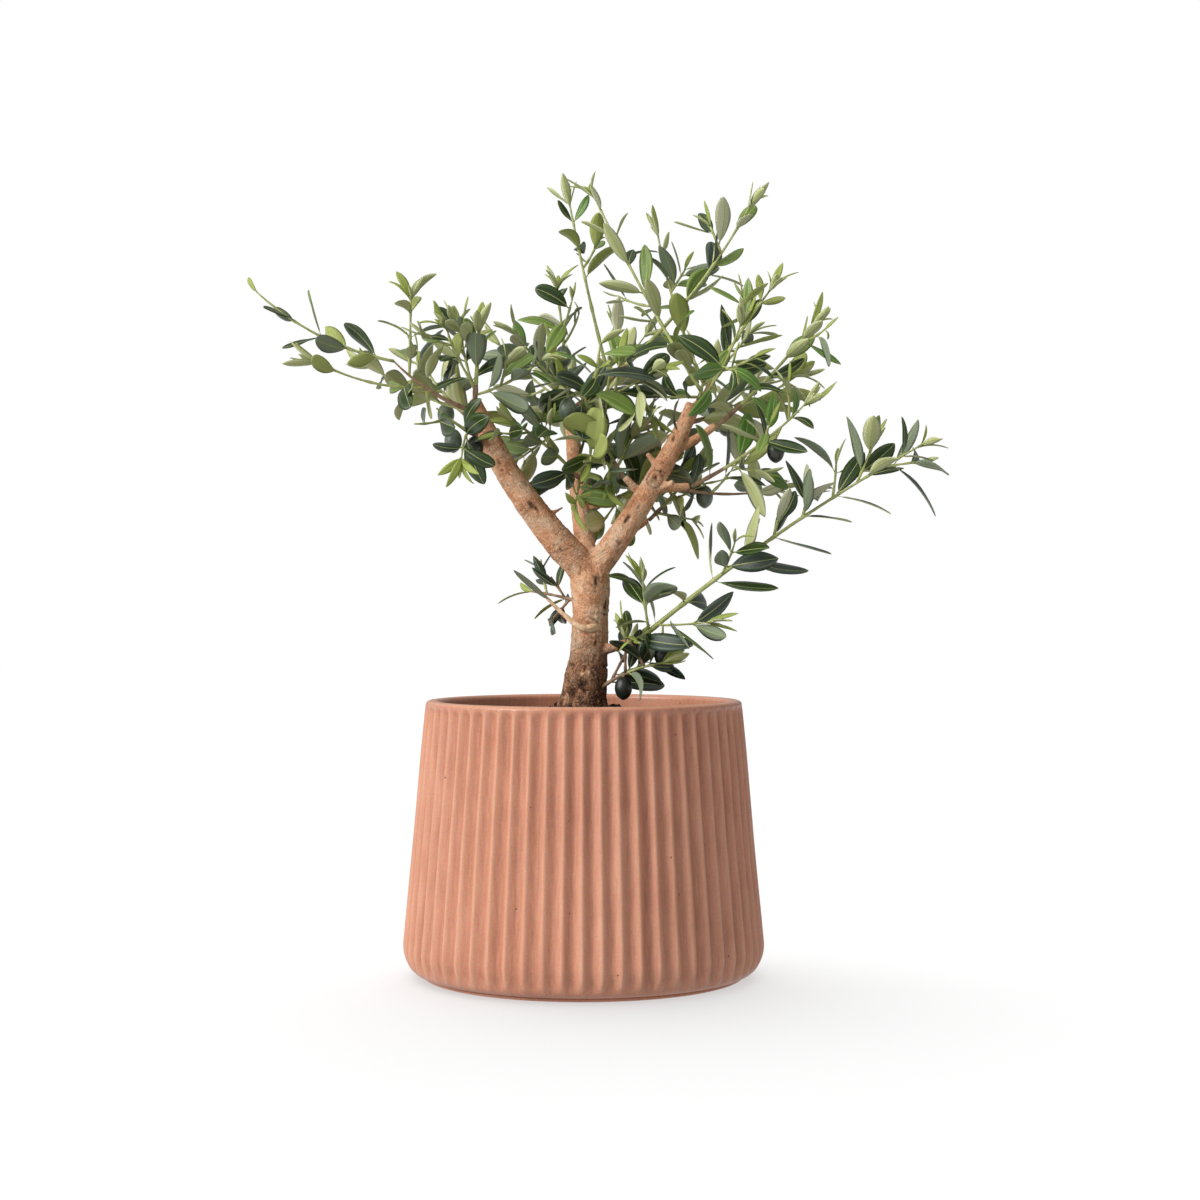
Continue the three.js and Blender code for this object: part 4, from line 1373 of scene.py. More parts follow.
@dataclass
class Bark:
    """One mesh over trunk and boughs with the bark's relief: lumps, wrinkles, pores, warts, scars, stubs.

    Sizes and heights are in millimetres. A pair of sizes is along and round the limb, a pair of wavers goes
    by the lumps and by the ripples, and tones say how dark scars are and how much painted shade darkens
    cracks, wrinkles and pits, from 0 to 1.
    """

    voxel: float = 0.75
    sides: int = 28
    step: float = 3.0
    easing: float = 0.5
    easing_rounds: int = 10
    samples: int = 200
    full_radius: float = 9.0
    thinned: Span = (0.3, 1.2)
    lump: float = 0.75
    lump_size: float = 15.0
    ripple: float = 0.28
    ripple_size: float = 4.2
    limb_layers: int = 31
    wrinkle_layer: int = 9
    grain: float = 0.2
    grain_size: Span = (9.0, 1.6)
    grain_crack: float = 0.3
    grain_tone: float = 0.6
    wrinkle: float = 0.4
    wrinkle_size: Span = (1.7, 8.0)
    wrinkle_slope: float = 5.0
    wrinkle_ripple: float = 0.5
    wrinkle_part: Span = (-0.25, 0.3)
    wrinkle_tone: float = 0.42
    plate: float = 0.5
    plate_size: float = 3.2
    plate_crack: float = 0.22
    plate_tone: float = 0.8
    old_part: Span = (4.0, 64.0)
    old_waver: Span = (10.0, 5.0)
    old_share: Span = (0.85, 0.3)
    grey_part: Span = (0.15, 0.6)
    grey_share: float = 0.22
    warp: float = 1.6
    ring_waver: Span = (2.6, 1.4)
    ring_part: Span = (-0.3, 0.25)
    knot_rim: Span = (1.0, 0.4)
    knot_crack: Span = (1.5, 0.2)
    knot_heights: Span = (0.6, 0.7)
    knot_tones: Span = (0.5, 0.35)
    wart_youth: float = 1.1
    pit_stretch: float = 0.62
    pit_tone: Span = (0.25, 0.6)
    pit_darkest: float = 0.85
    pores: int = 150
    pore_width: Span = (0.6, 1.15)
    pore_depth: Span = (0.2, 0.75)
    warts: int = 16
    wart_part: Span = (0.06, 0.3)
    wart_power: float = 1.4
    wart_width: Span = (0.9, 1.6)
    wart_height: Span = (0.5, 1.1)
    seed: int = 29

    PORE_HOSTS = ("trunk", "bough_left", "bough_right", "bough_rear", "bough_left", "bough_right", "trunk")
    STUBS = (
        Bough("bough_left", 0.36, Course(15, 28, 17, base=2.6, tip=0.7)),
        Bough("bough_right", 0.5, Course(-25, 20, 19, base=2.9, tip=2.2)),
        Bough("bough_right", 0.63, Course(200, 50, 14, base=2.3, tip=1.6)),
        Bough("bough_right", 0.9, Course(-15, 60, 16, base=2.2, tip=1.6)),
        Bough("bough_left", 0.93, Course(250, 40, 15, base=2.6, tip=1.9)),
        Bough("bough_rear", 0.6, Course(60, 40, 14, base=2.4, tip=1.5)),
    )
    SCARS = (
        Scar("trunk", 0.29, 92, 3.2, 1.1, Mark.WART),
        Scar("trunk", 0.23, 97, 2.8, 1.4),
        Scar("trunk", 0.19, 142, 1.3, 1.5, Mark.WART),
        Scar("trunk", 0.18, 99, 1.2, 1.4, Mark.WART),
        Scar("trunk", 0.16, 120, 2.2, 1.3),
        Scar("trunk", 0.5, 70, 1.6, 0.8),
        Scar("trunk", 0.63, 94, 3.4, 1.1, Mark.KNOT),
        Scar("trunk", 0.4, 250, 4.6, 1.2, Mark.KNOT),
        Scar("trunk", 0.7, 0, 0.9, 0.7, Mark.RING),
        Scar("trunk", 0.36, 0, 1.1, 0.8, Mark.RING),
        Scar("trunk", 0.76, 28, 2.2, 1.3),
        Scar("trunk", 0.92, 72, 1.5, 1.2),
        Scar("trunk", 0.97, 122, 1.0, 0.6),
        Scar("bough_left", 0.44, 78, 1.8, 1.7),
        Scar("bough_left", 0.41, 68, 1.3, 1.4),
        Scar("bough_left", 0.2, 96, 1.1, 0.8),
        Scar("bough_left", 0.7, 100, 1.3, 0.9),
        Scar("bough_left", 0.58, 240, 3.4, 1.2, Mark.KNOT),
        Scar("bough_right", 0.58, 96, 3.4, 1.0, Mark.KNOT),
        Scar("bough_right", 0.34, 110, 1.8, 1.1),
        Scar("bough_right", 0.97, 66, 2.4, 2.2),
        Scar("bough_right", 0.8, 120, 1.6, 1.0),
        Scar("bough_rear", 0.4, 250, 2.8, 1.2, Mark.KNOT),
    )

    def joined(self, limbs: dict[str, Line]) -> Object:
        """Joins limbs and stubs into one closed skin of even small faces, eased where limbs meet.

        Args:
            limbs: Lines by name.

        Returns:
            The skin without relief or finish.
        """
        builder = Builder()
        for limb in limbs.values():
            builder.add(limb.tube(self.sides))
        for stub in self.STUBS:
            start, _ = limbs[stub.on].at(stub.at)
            builder.add(Line(start, stub.course, self.step).tube(self.sides // 2))
        rough = builder.piece("bark", [])
        remesh = rough.modifiers.new("skin", "REMESH")
        remesh.mode = "VOXEL"
        remesh.voxel_size = self.voxel * MM
        ease = rough.modifiers.new("ease", "SMOOTH")
        ease.factor = self.easing
        ease.iterations = self.easing_rounds
        skin = bpy.data.meshes.new_from_object(rough.evaluated_get(bpy.context.evaluated_depsgraph_get()))
        rough.modifiers.clear()
        rough.data = skin
        return rough

    def chart(self, points: np.ndarray, limbs: dict[str, Line]) -> dict[str, np.ndarray]:
        """Finds where each point lies on its nearest limb.

        Args:
            points: Points in millimetres.
            limbs: Lines by name.

        Returns:
            Arrays of the limb's number, the distance along, the angle round and the radius there.
        """
        rows = np.arange(len(points))
        best = np.full(len(points), np.inf)
        found = {key: np.zeros(len(points)) for key in ("limb", "along", "angle", "radius")}
        for number, limb in enumerate(limbs.values()):
            start = np.array(limb.points[:-1])
            stride = np.array(limb.points[1:]) - start
            offset = points[:, None, :] - start[None]
            share = np.clip((offset * stride).sum(2) / np.linalg.norm(stride, axis=1) ** 2, 0, 1)
            away = np.linalg.norm(offset - share[..., None] * stride, axis=2)
            nearest = away.argmin(1)
            total = (nearest + share[rows, nearest]) / len(stride)
            radii = np.array([limb.radius_at(part) for part in np.linspace(0, 1, self.samples)])
            radius = radii[(total * (self.samples - 1)).astype(int)]
            gap = away[rows, nearest] - radius
            out = offset[rows, nearest]
            side, across = (np.array([axes[way] for axes in limb.axes[:-1]])[nearest] for way in (1, 2))
            angle = np.degrees(np.arctan2((out * across).sum(1), (out * side).sum(1)))
            closer = gap < best
            best[closer] = gap[closer]
            measures = np.full(len(points), number), total * limb.course.length, angle, radius
            for key, values in zip(found, measures):
                found[key][closer] = values[closer]
        return found

    def scars(self) -> list[Scar]:
        """The named scars and, dealt by the seed, pores on all limbs and warts at the trunk's foot."""
        draw = seeded(self.seed)
        dealt = list(self.SCARS)
        for i in range(self.pores):
            host = self.PORE_HOSTS[i % len(self.PORE_HOSTS)]
            at, angle = draw(), draw() * 360
            width, depth = lerp(*self.pore_width, draw()), lerp(*self.pore_depth, draw())
            dealt.append(Scar(host, at, angle, width, depth))
        for _ in range(self.warts):
            at, angle = lerp(*self.wart_part, draw() ** self.wart_power), draw() * 360
            width, height = lerp(*self.wart_width, draw()), lerp(*self.wart_height, draw())
            dealt.append(Scar("trunk", at, angle, width, height, Mark.WART))
        return dealt

    def relief(self, points: np.ndarray, limbs: dict[str, Line]) -> tuple[np.ndarray, ...]:
        """Height of the bark's relief and its attributes.

        Args:
            points: Points of the skin in millimetres.
            limbs: Lines by name.

        Returns:
            Height in millimetres, darkness of scars and painted shade in cracks, wrinkles and pits, and age
            of the bark, for each point.
        """
        chart = self.chart(points, limbs)
        along, radius = chart["along"], chart["radius"]
        spots = [Vector(point) for point in points]
        lumps, ripples = (
            np.array([noise.noise(spot / size) for spot in spots])
            for size in (self.lump_size, self.ripple_size)
        )
        way = list(zip(along, np.radians(chart["angle"]) * radius, chart["limb"] * self.limb_layers))
        grain, waves = (
            np.array([noise.noise((far / ahead, turn / aside, limb + layer)) for far, turn, limb in way])
            for (ahead, aside), layer in ((self.grain_size, 0), (self.wrinkle_size, self.wrinkle_layer))
        )
        wrinkle = np.clip(1 - np.abs(waves) * self.wrinkle_slope, 0, 1) ** 2
        wrinkle = wrinkle * smoothstep(lumps + self.wrinkle_ripple * ripples, *self.wrinkle_part)
        by_lumps, by_ripples = self.old_waver
        foot = points[:, 2] - TrunkLine.GROUND + by_lumps * lumps + by_ripples * ripples
        full, varied = self.old_share
        age = (1 - smoothstep(foot, *self.old_part)) * (full + varied * ripples)
        # Old plates part where the middles of two are about equally near
        edges = np.array([np.subtract(*noise.voronoi(spot / self.plate_size)[0][1::-1]) for spot in spots])
        plates = (1 - smoothstep(edges, 0.0, self.plate_crack)) * age
        height = lumps * self.lump + ripples * self.ripple + grain * self.grain - wrinkle * self.wrinkle
        height = height * np.clip(radius / self.full_radius, *self.thinned) - plates * self.plate
        # Painted shade: troughs of the grain, wrinkles and gaps between plates are toned darker where they
        # sink
        scar = np.clip(-grain - self.grain_crack, 0, 1) * self.grain_tone
        scar = scar + self.wrinkle_tone * wrinkle + self.plate_tone * plates
        names = list(limbs)
        for mark in self.scars():
            on = chart["limb"] == names.index(mark.limb)
            ahead = along - mark.at * limbs[mark.limb].course.length
            aside = np.radians((chart["angle"] - mark.angle + 180) % 360 - 180) * radius
            if mark.mark is Mark.RING:
                by_lumps, by_ripples = self.ring_waver
                ahead, aside = ahead + by_lumps * lumps + by_ripples * ripples, 0 * aside
                on = on * smoothstep(ripples + lumps, *self.ring_part)
            elif mark.mark is not Mark.WART:
                ahead, aside = ahead + self.warp * ripples, aside + self.warp * grain
            if mark.mark is Mark.PIT:
                ahead = ahead * self.pit_stretch
            away = np.hypot(ahead, aside) / mark.width
            dent = hump(away) * on
            if mark.mark is Mark.KNOT:
                rim, hollow = self.knot_heights
                height += mark.depth * (rim * hump(away, *self.knot_rim) * on - hollow * dent)
                # Painted shade: the knot's crack and hollow are toned darker
                crack, middle = self.knot_tones
                scar += crack * hump(away, *self.knot_crack) * on + middle * dent
            elif mark.mark is Mark.WART:
                height += mark.depth * dent
                age -= self.wart_youth * dent
            else:
                # Painted shade: pits are toned darker the deeper they are
                least, by_depth = self.pit_tone
                height -= mark.depth * dent
                scar += min(self.pit_darkest, least + by_depth * mark.depth) * hump(away**2) * on
        age = age + self.grey_share * smoothstep(lumps, *self.grey_part)
        return height, np.clip(scar, 0, 1), np.clip(age, 0, 1)

    def dress(self) -> None:
        """Builds the bark and puts it in place of trunk and boughs."""
        limbs = grow_limbs(self.step, self.step)
        del limbs[DEAD_LIMB]
        piece = self.joined(limbs)
        mesh = piece.data
        points = np.empty(len(mesh.vertices) * 3)
        mesh.vertices.foreach_get("co", points)
        points = points.reshape(-1, 3) / MM
        normals = np.empty(len(mesh.vertices) * 3, np.float32)
        mesh.vertex_normals.foreach_get("vector", normals)
        height, scar, age = self.relief(points, limbs)
        moved = points + normals.reshape(-1, 3) * height[:, None]
        mesh.vertices.foreach_set("co", (moved * MM).ravel())
        mesh.polygons.foreach_set("use_smooth", [True] * len(mesh.polygons))
        mesh.update()
        write_attribute(piece, "scar", scar)
        write_attribute(piece, "age", age)
        mesh.materials.append(BARK.material())
        settle(piece, "bark", *limbs)


# Foliage


@dataclass(frozen=True)
class LeafRule:
    """How leaves stand on a line, as in the part's source: in opposite pairs, each a quarter turn on."""

    length: float = 35.0
    pair_turn: float = 90.0
    half_turn: float = 180.0
    scatter: float = 0.2
    width: float = 0.44
    thickness: float = 1.4
    thickest: float = -0.3
    base_spread: float = 66.0
    tip_spread: float = 34.0
    spread_scatter: float = 14.0
    turn_scatter: float = 24.0
    roll_scatter: float = 26.0
    shrink: float = 0.3
    young: float = 0.62
    young_spread: float = 18.0
    lift: float = 0.3
    sunk: float = 0.2
    tries: int = 4
    first_pair: float = 0.6
    bare_part: float = 0.2
    tip_pair: float = 0.98


@dataclass(frozen=True)
class SpurRule:
    """Short side twigs, as in the part's source, and the radius and stride of every twig."""

    length: Span = (15.0, 30.0)
    part: Span = (0.3, 0.85)
    pairs: int = 2
    spread: float = 52.0
    curl: float = 18.0
    golden_angle: float = 137.5
    twig_base: float = 1.0
    twig_per_length: float = 0.006
    step: float = 30.0
    feeler_sides: int = 3


@dataclass(frozen=True)
class FineRule:
    """The finer growth: nested young leaves at tips, small twigs inside the crown, leaves as they show.

    A nest is a row of young pairs, each with its length against a full leaf's and its spread.
    """

    step: float = 4.0
    nest: tuple[Span, ...] = ((0.52, 24.0), (0.36, 11.0))
    open_nest: tuple[Span, ...] = ((0.4, 20.0),)
    spur_nest: tuple[Span, ...] = ((0.5, 26.0), (0.28, 10.0))
    nest_seed: int = 20
    twig_length: Span = (9.0, 20.0)
    twig_part: Span = (0.12, 0.8)
    twig_pairs: int = 2
    twig_leaf: float = 0.85
    twig_spread: float = 48.0
    spur_fill: int = 3
    tip_shrink: float = 0.3
    tip_part: Span = (0.6, 1.0)
    width: Span = (0.78, 1.16)
    young_width: float = 0.6
    roll: float = 42.0
    odd_leaves: float = 0.45
    thin: float = 0.68
    tip_radius: float = 0.55
    node_swell: float = 0.35
    node_width: float = 2.2
    sides: int = 6
    woody: float = 0.5


LEAF = LeafRule()
SPUR = SpurRule()
FINE = FineRule()


@dataclass
class Leaf:
    """A leaf in place: its root, the ways that it and its upper side point, and its share of the line."""

    root: Vector
    along: Vector
    normal: Vector
    length: float
    seed: int
    young: bool = False
    share: float = 0.0

    def feeler(self, margin: float) -> Shell:
        """The coarse blade that the leaf must keep clear.

        Args:
            margin: Extra size on every side.

        Returns:
            Corners and faces.
        """
        across = self.along.cross(self.normal)
        half, thick = self.length / 2 + margin, LEAF.thickness / 2 + margin
        wide = self.length * LEAF.width / 2 + margin
        middle = self.root + self.along * (self.length / 2 - LEAF.sunk)
        waist = middle + self.along * (LEAF.thickest * half)
        corners = [
            middle + self.along * half, middle - self.along * half,
            middle + across * wide, middle - across * wide,
            waist + self.normal * thick, waist - self.normal * thick,
        ]
        faces = [(0, 2, 4), (2, 1, 4), (1, 3, 4), (3, 0, 4), (2, 0, 5), (1, 2, 5), (3, 1, 5), (0, 3, 5)]
        return np.array(corners), faces


@dataclass
class BladeShape:
    """The outline and form of leaf blades, made to each leaf's length.

    A blade is a thin closed shell: ten corners in each ring, from edge to edge over the upper side and back
    under it, with the midrib as a strip of its own on both sides and the stalk as its first stretch.
    """

    stations: tuple[float, ...] = (0.0, 0.05, 0.13, 0.24, 0.37, 0.5, 0.63, 0.75, 0.86, 0.94, 0.985, 1.0)
    stalk: float = 0.11
    stalk_radius: float = 0.55
    base_power: float = 0.85
    pointed: float = 0.8
    blunt: float = 0.52
    blunt_width: Span = (0.3, 0.44)
    tip_scatter: float = 0.12
    edge: float = 0.08
    inner: float = 0.55
    rib: float = 0.3
    rib_taper: Span = (1.15, 0.75)
    rib_most: float = 0.6
    rib_sunk: float = 0.1
    rib_below: float = 0.22
    thickness: float = 0.45
    thin_edge: float = 0.05
    full_half: float = 1.2
    fold: float = 0.3
    least_fold: float = 0.4
    roll: float = 0.6
    roll_half: float = 5.0
    wave: float = 0.06
    waves: float = 1.3
    bend: Span = (-26.0, 58.0)
    sweep: float = 14.0
    twist: float = 34.0

    RING = 10

    def faces(self) -> list[Face]:
        """Faces of one blade, with both ends closed."""
        return closed_faces(len(self.stations) + 1, self.RING)

    def tones(self, upper: LeafTone, under: LeafTone, rib: LeafTone) -> list[int]:
        """Material numbers of one blade's faces.

        Args:
            upper: Tone of the upper side.
            under: Tone of the underside.
            rib: Tone of the midrib and the stalk.

        Returns:
            One number for each face.
        """
        edges = [EDGE_TONES.get(tone, tone) for tone in (upper, under)]
        up, down, line, up_edge, down_edge = (LEAF_TONES.index(tone) for tone in (upper, under, rib, *edges))
        ring = [up_edge, up, line, up, up_edge, down_edge, down, line, down, down_edge]
        return [line] * self.RING + ring * (len(self.stations) - 1) + [line, up]

    def vertices(self, leaf: Leaf, width: float, draw: Draw) -> np.ndarray:
        """Corners of one blade in place.

        Args:
            leaf: The leaf's place and length.
            width: Width against length.
            draw: Random numbers of the leaf.

        Returns:
            Corners in millimetres, ring by ring.
        """
        stalk = self.stalk * leaf.length
        share = np.array(self.stations)
        along = np.concatenate([[0.0], stalk + (leaf.length - stalk) * share]) / leaf.length
        tip = lerp(self.pointed, self.blunt, float(smoothstep(width, *self.blunt_width)))
        tip = tip + (draw() - 0.5) * self.tip_scatter
        outline = share**self.base_power * (1 - share) ** tip
        peak = self.base_power / (self.base_power + tip)
        outline = outline / (peak**self.base_power * (1 - peak) ** tip)
        half = leaf.length * width / 2 * outline + self.stalk_radius * (1 - share) ** 2 + self.edge
        half = np.concatenate([[self.stalk_radius], half])[:, None]
        bend = math.radians(lerp(*self.bend, draw())) * along
        sweep = math.radians((draw() * 2 - 1) * self.sweep) * along
        twist = math.radians((draw() * 2 - 1) * self.twist) * along[:, None]
        fold = self.fold * (self.least_fold + draw())
        full, less = self.rib_taper
        rib = np.minimum(self.rib * (full - less * along[:, None]), half * self.rib_most)
        thick = self.thickness / 2 * np.minimum(1, half / self.full_half) + self.thin_edge
        on_blade = np.concatenate([[0.0, 0.0], np.ones(len(share) - 1)])[:, None]
        inner = self.inner * half
        across = np.hstack([-half, -inner, -rib, rib, inner, half, inner, rib, -rib, -inner])
        part = np.abs(across) / half
        lift = fold * np.abs(across) - self.roll * part**4 * on_blade * half / self.roll_half
        turns = math.tau * (self.waves * along + draw())
        lift = lift + self.wave * half * part**2 * np.sin(turns)[:, None] * np.sign(across)
        side = np.array([0, 1, 1, 1, 1, 0, -1, -1, -1, -1])
        ribbed = -np.array([0, 0, self.rib_sunk, self.rib_sunk, 0, 0, 0, self.rib_below, self.rib_below, 0])
        height = lift * on_blade + side * thick + ribbed * on_blade
        rolled = across * np.cos(twist) - height * np.sin(twist)
        raised = across * np.sin(twist) + height * np.cos(twist)
        arc = leaf.length * along
        chord = arc * np.sinc(bend / 2 / np.pi)
        x = (chord * np.cos(bend / 2))[:, None] + raised * np.sin(bend)[:, None]
        y = (arc * np.sin(sweep))[:, None] + rolled
        z = (-chord * np.sin(bend / 2))[:, None] + raised * np.cos(bend)[:, None]
        basis = np.array([leaf.along, leaf.normal.cross(leaf.along), leaf.normal])
        return np.stack([x, y, z], 2).reshape(-1, 3) @ basis + np.array(leaf.root)


@dataclass
class OliveShape:
    """An olive on its stalk, hanging under its twig, a little pointed at its lower end."""

    radius: float = 5.4
    half_length: float = 7.2
    stalk: float = 4.5
    stalk_radius: float = 0.6
    stalk_sunk: float = 0.6
    stalk_step: float = 1.5
    cap: float = 1.7
    columns: int = 20
    rows: int = 14
    feeler: tuple[int, int] = (5, 3)
    tip: float = 0.35
    tip_part: Span = (2.7, math.pi)
    pole: float = 0.02

    def fruit(self, point: Vector, stalk: float, columns: int, rows: int) -> Shell:
        """Corners and faces of the fruit.

        Args:
            point: Place on the twig.
            stalk: Length of the stalk.
            columns: Corners of each ring.
            rows: Stretches from end to end.

        Returns:
            Corners and faces.
        """
        centre = np.array(point) - np.array((0, 0, stalk + self.half_length))
        rings = []
        for row in range(rows + 1):
            angle = math.pi * row / rows
            height = self.half_length * math.cos(angle) - self.tip * float(smoothstep(angle, *self.tip_part))
            radius = max(self.radius * math.sin(angle), self.pole)
            for column in range(columns):
                turn = math.tau * column / columns
                rings.append(centre + np.array((radius * math.sin(turn), radius * math.cos(turn), height)))
        return np.array(rings), closed_faces(rows + 1, columns)

    def stem(self, point: Vector, stalk: float) -> Shell:
        """Corners and faces of the stalk, with a small cap where it meets the fruit."""
        tip = self.stalk_radius * self.cap
        course = Course(0, -90, stalk + self.stalk_sunk, base=self.stalk_radius, tip=tip)
        return Line(point, course, self.stalk_step).tube(FINE.sides)


BLADE = BladeShape()
OLIVE = OliveShape()


def pair_share(pair: int, pairs: int) -> float:
    """Share of a line's length at which one of its leaf pairs stands."""
    return (pair + LEAF.first_pair) / (pairs + LEAF.bare_part)


class Twig(Line):
    """A twig as it shows: slim, with a swelling at each pair of leaves."""

    def __init__(self, start: Vector, course: Course) -> None:
        """Walks the twig finely and keeps the shares of its length where leaves stand."""
        self.nodes = [pair_share(pair, course.pairs) for pair in range(course.pairs)]
        super().__init__(start, course, FINE.step)

    def radius_at(self, share: float, angle: float = 0.0) -> float:
        """Radius with the swellings."""
        plain = lerp(self.course.base * FINE.thin, FINE.tip_radius, share)
        apart = [(share - node) * self.course.length / FINE.node_width for node in self.nodes]
        return plain + FINE.node_swell * max((math.exp(-(gap**2)) for gap in apart), default=0.0)


@dataclass
class Shoot:
    """A line of a mass: its coarse line, its twig as shown, and whether it is a side twig or a finer one."""

    line: Line
    twig: Twig
    is_spur: bool = False
    is_fine: bool = False


class Mass:
    """One mass of foliage: its twigs first, then its olives and leaves, then its finer growth.

    Seeds of spurs, leaves and finer growth count by the mass and by the line.
    """

    SPUR_SEEDS = (1000, 10)
    LEAF_SEEDS = (10000, 100)
    FINE_SEEDS = (100000, 1000)
    FIRST_LEAF = 500
    SPRAY_SEED = 7919
    TONE_SEED = 31
    FORM_SEED = 77

    def __init__(self, plan: MassPlan, limbs: dict[str, Line], obstacles: Obstacles) -> None:
        """Grows the stem and the shoots.

        Args:
            plan: Row of the mass.
            limbs: Trunk and boughs by name.
            obstacles: Everything that new growth keeps clear of.
        """
        self.plan = plan
        self.obstacles = obstacles
        self.leaves: list[tuple[Leaf, int]] = []
        self.olives: list[tuple[Vector, float, int]] = []
        limb = limbs[plan.on]
        point, _ = limb.at(plan.at)
        start = point + direction(plan.stem.heading, 0) * (STEM_ASIDE * limb.radius_at(plan.at))
        self.shoots = [self._shoot(start, start, plan.stem)]
        for course in plan.shoots:
            self.shoots.append(self._branch(course))
        for shoot in self.shoots:
            obstacles.add(shoot.line.tube(SPUR.feeler_sides, CLEARANCE), shoot)

    def _seed(self, counts: tuple[int, int], order: int) -> int:
        """First seed of one kind of growth on a line."""
        per_mass, per_line = counts
        return self.plan.seed * per_mass + order * per_line

    def _shoot(self, start: Vector, shown_start: Vector, course: Course) -> Shoot:
        """A shoot with its coarse and its shown line.

        Args:
            start: Start of the coarse line.
            shown_start: Start of the twig as shown.
            course: Its course; a base of 0 is worked out from the length.

        Returns:
            The shoot.
        """
        base = course.base or SPUR.twig_base + SPUR.twig_per_length * course.length
        sized = replace(course, base=base)
        return Shoot(Line(start, sized, SPUR.step), Twig(shown_start, sized))

    def _branch(self, course: Course) -> Shoot:
        """A shoot that starts on the line and at the share of it that its course names."""
        parent = self.shoots[course.origin]
        return self._shoot(parent.line.at(course.at)[0], parent.twig.at(course.at)[0], course)

    def _side_twig(self, order: int, share: float, angle: float, length: float, pairs: int) -> Shoot:
        """A short twig that leaves the side of one of the lines.

        Args:
            order: Number of the line in its mass.
            share: Place along the line.
            angle: Angle round it in degrees.
            length: Length of the twig.
            pairs: Leaf pairs that it carries.

        Returns:
            The twig, not yet kept.
        """
        _, axes = self.shoots[order].line.at(share)
        way = leaning(axes, angle, SPUR.spread)
        heading, rise = math.degrees(math.atan2(way.y, way.x)), math.degrees(math.asin(way.z))
        return self._branch(Course(heading, rise, length, share, curl=SPUR.curl, pairs=pairs, origin=order))

    def _take(self, twig: Shoot, is_fine: bool) -> bool:
        """Keeps a side twig if nothing is in its way.

        Args:
            twig: The twig.
            is_fine: Whether it belongs to the finer growth.

        Returns:
            Whether it was kept.
        """
        feeler = twig.line.tube(SPUR.feeler_sides, CLEARANCE)
        if not self.obstacles.is_clear(feeler, self.shoots[twig.line.course.origin]):
            return False
        twig.is_spur = True
        twig.is_fine = is_fine
        self.obstacles.add(feeler, twig)
        self.shoots.append(twig)
        return True

    def grow_spurs(self) -> None:
        """Sets short side twigs round each line by the golden angle."""
        for order, shoot in enumerate(list(self.shoots)):
            spurs = shoot.line.course.spurs
            for i in range(spurs):
                draw = seeded(self._seed(self.SPUR_SEEDS, order) + i)
                share = lerp(*SPUR.part, (i + draw()) / spurs)
                angle = i * SPUR.golden_angle + draw() * 360
                length = lerp(*SPUR.length, draw())
                self._take(self._side_twig(order, share, angle, length, SPUR.pairs), False)

    def grow_olives(self) -> None:
        """Hangs the olives under the stem."""
        stem = self.shoots[0]
        for i in range(self.plan.olives):
            share = lerp(*SPUR.part, (i + 0.5) / self.plan.olives)
            feeler = OLIVE.fruit(stem.line.at(share)[0], OLIVE.stalk, *OLIVE.feeler)
            if self.obstacles.is_clear(feeler, stem):
                self.obstacles.add(feeler)
                self.olives.append((stem.twig.at(share)[0], OLIVE.stalk, (self.plan.seed + i) % 2))

    def grow_leaves(self) -> None:
        """Sets opposite pairs along each line, and a young pair at the tip of a shoot."""
        for order, shoot in enumerate(self.shoots):
            pairs = shoot.line.course.pairs
            seed = self._seed(self.LEAF_SEEDS, order)
            for pair in range(pairs + (0 if shoot.is_spur else 1)):
                is_young = pair == pairs
                share = LEAF.tip_pair if is_young else pair_share(pair, pairs)
                spread = LEAF.young_spread if is_young else lerp(LEAF.base_spread, LEAF.tip_spread, share)
                grown = LEAF.length * (LEAF.young if is_young else 1 - LEAF.shrink * share * share)
                angle = self.plan.phase + (order + pair) * LEAF.pair_turn
                self._grow_pair(order, share, angle, spread, grown, seed + pair * 2, is_young)

    def _grow_pair(
        self, order: int, share: float, angle: float, spread: float, grown: float, seed: int, young: bool
    ) -> None:
        """Tries a few turns of each leaf of a pair and keeps the first that is clear of all other growth.

        Args:
            order: Number of the shoot in its mass.
            share: Place along the shoot.
            angle: Angle of the first leaf round it in degrees.
            spread: Angle out from it in degrees.
            grown: Length before scatter.
            seed: Seed of the first leaf's draws.
            young: Whether the leaves have the pale tone of new growth.
        """
        shoot = self.shoots[order]
        point, axes = shoot.line.at(share)
        shown, _ = shoot.twig.at(share)
        facing = axes[0] + UP * LEAF.lift
        for half in (0, 1):
            draw = seeded(seed + half)
            for attempt in range(LEAF.tries):
                length = grown * (1 + (draw() * 2 - 1) * LEAF.scatter)
                turned = angle + half * LEAF.half_turn + (draw() * 2 - 1) * LEAF.turn_scatter * (1 + attempt)
                along = leaning(axes, turned, spread + (draw() * 2 - 1) * LEAF.spread_scatter)
                normal = (facing - along * facing.dot(along)).normalized()
                roll = math.radians((draw() * 2 - 1) * LEAF.roll_scatter)
                rolled = Quaternion(along, roll) @ normal
                leaf = Leaf(point, along, rolled, length, seed + half, young, share)
                feeler = leaf.feeler(CLEARANCE)
                if self.obstacles.is_clear(feeler, shoot):
                    self.obstacles.add(feeler, shoot)
                    leaf.root = shown
                    self.leaves.append((leaf, order))
                    break

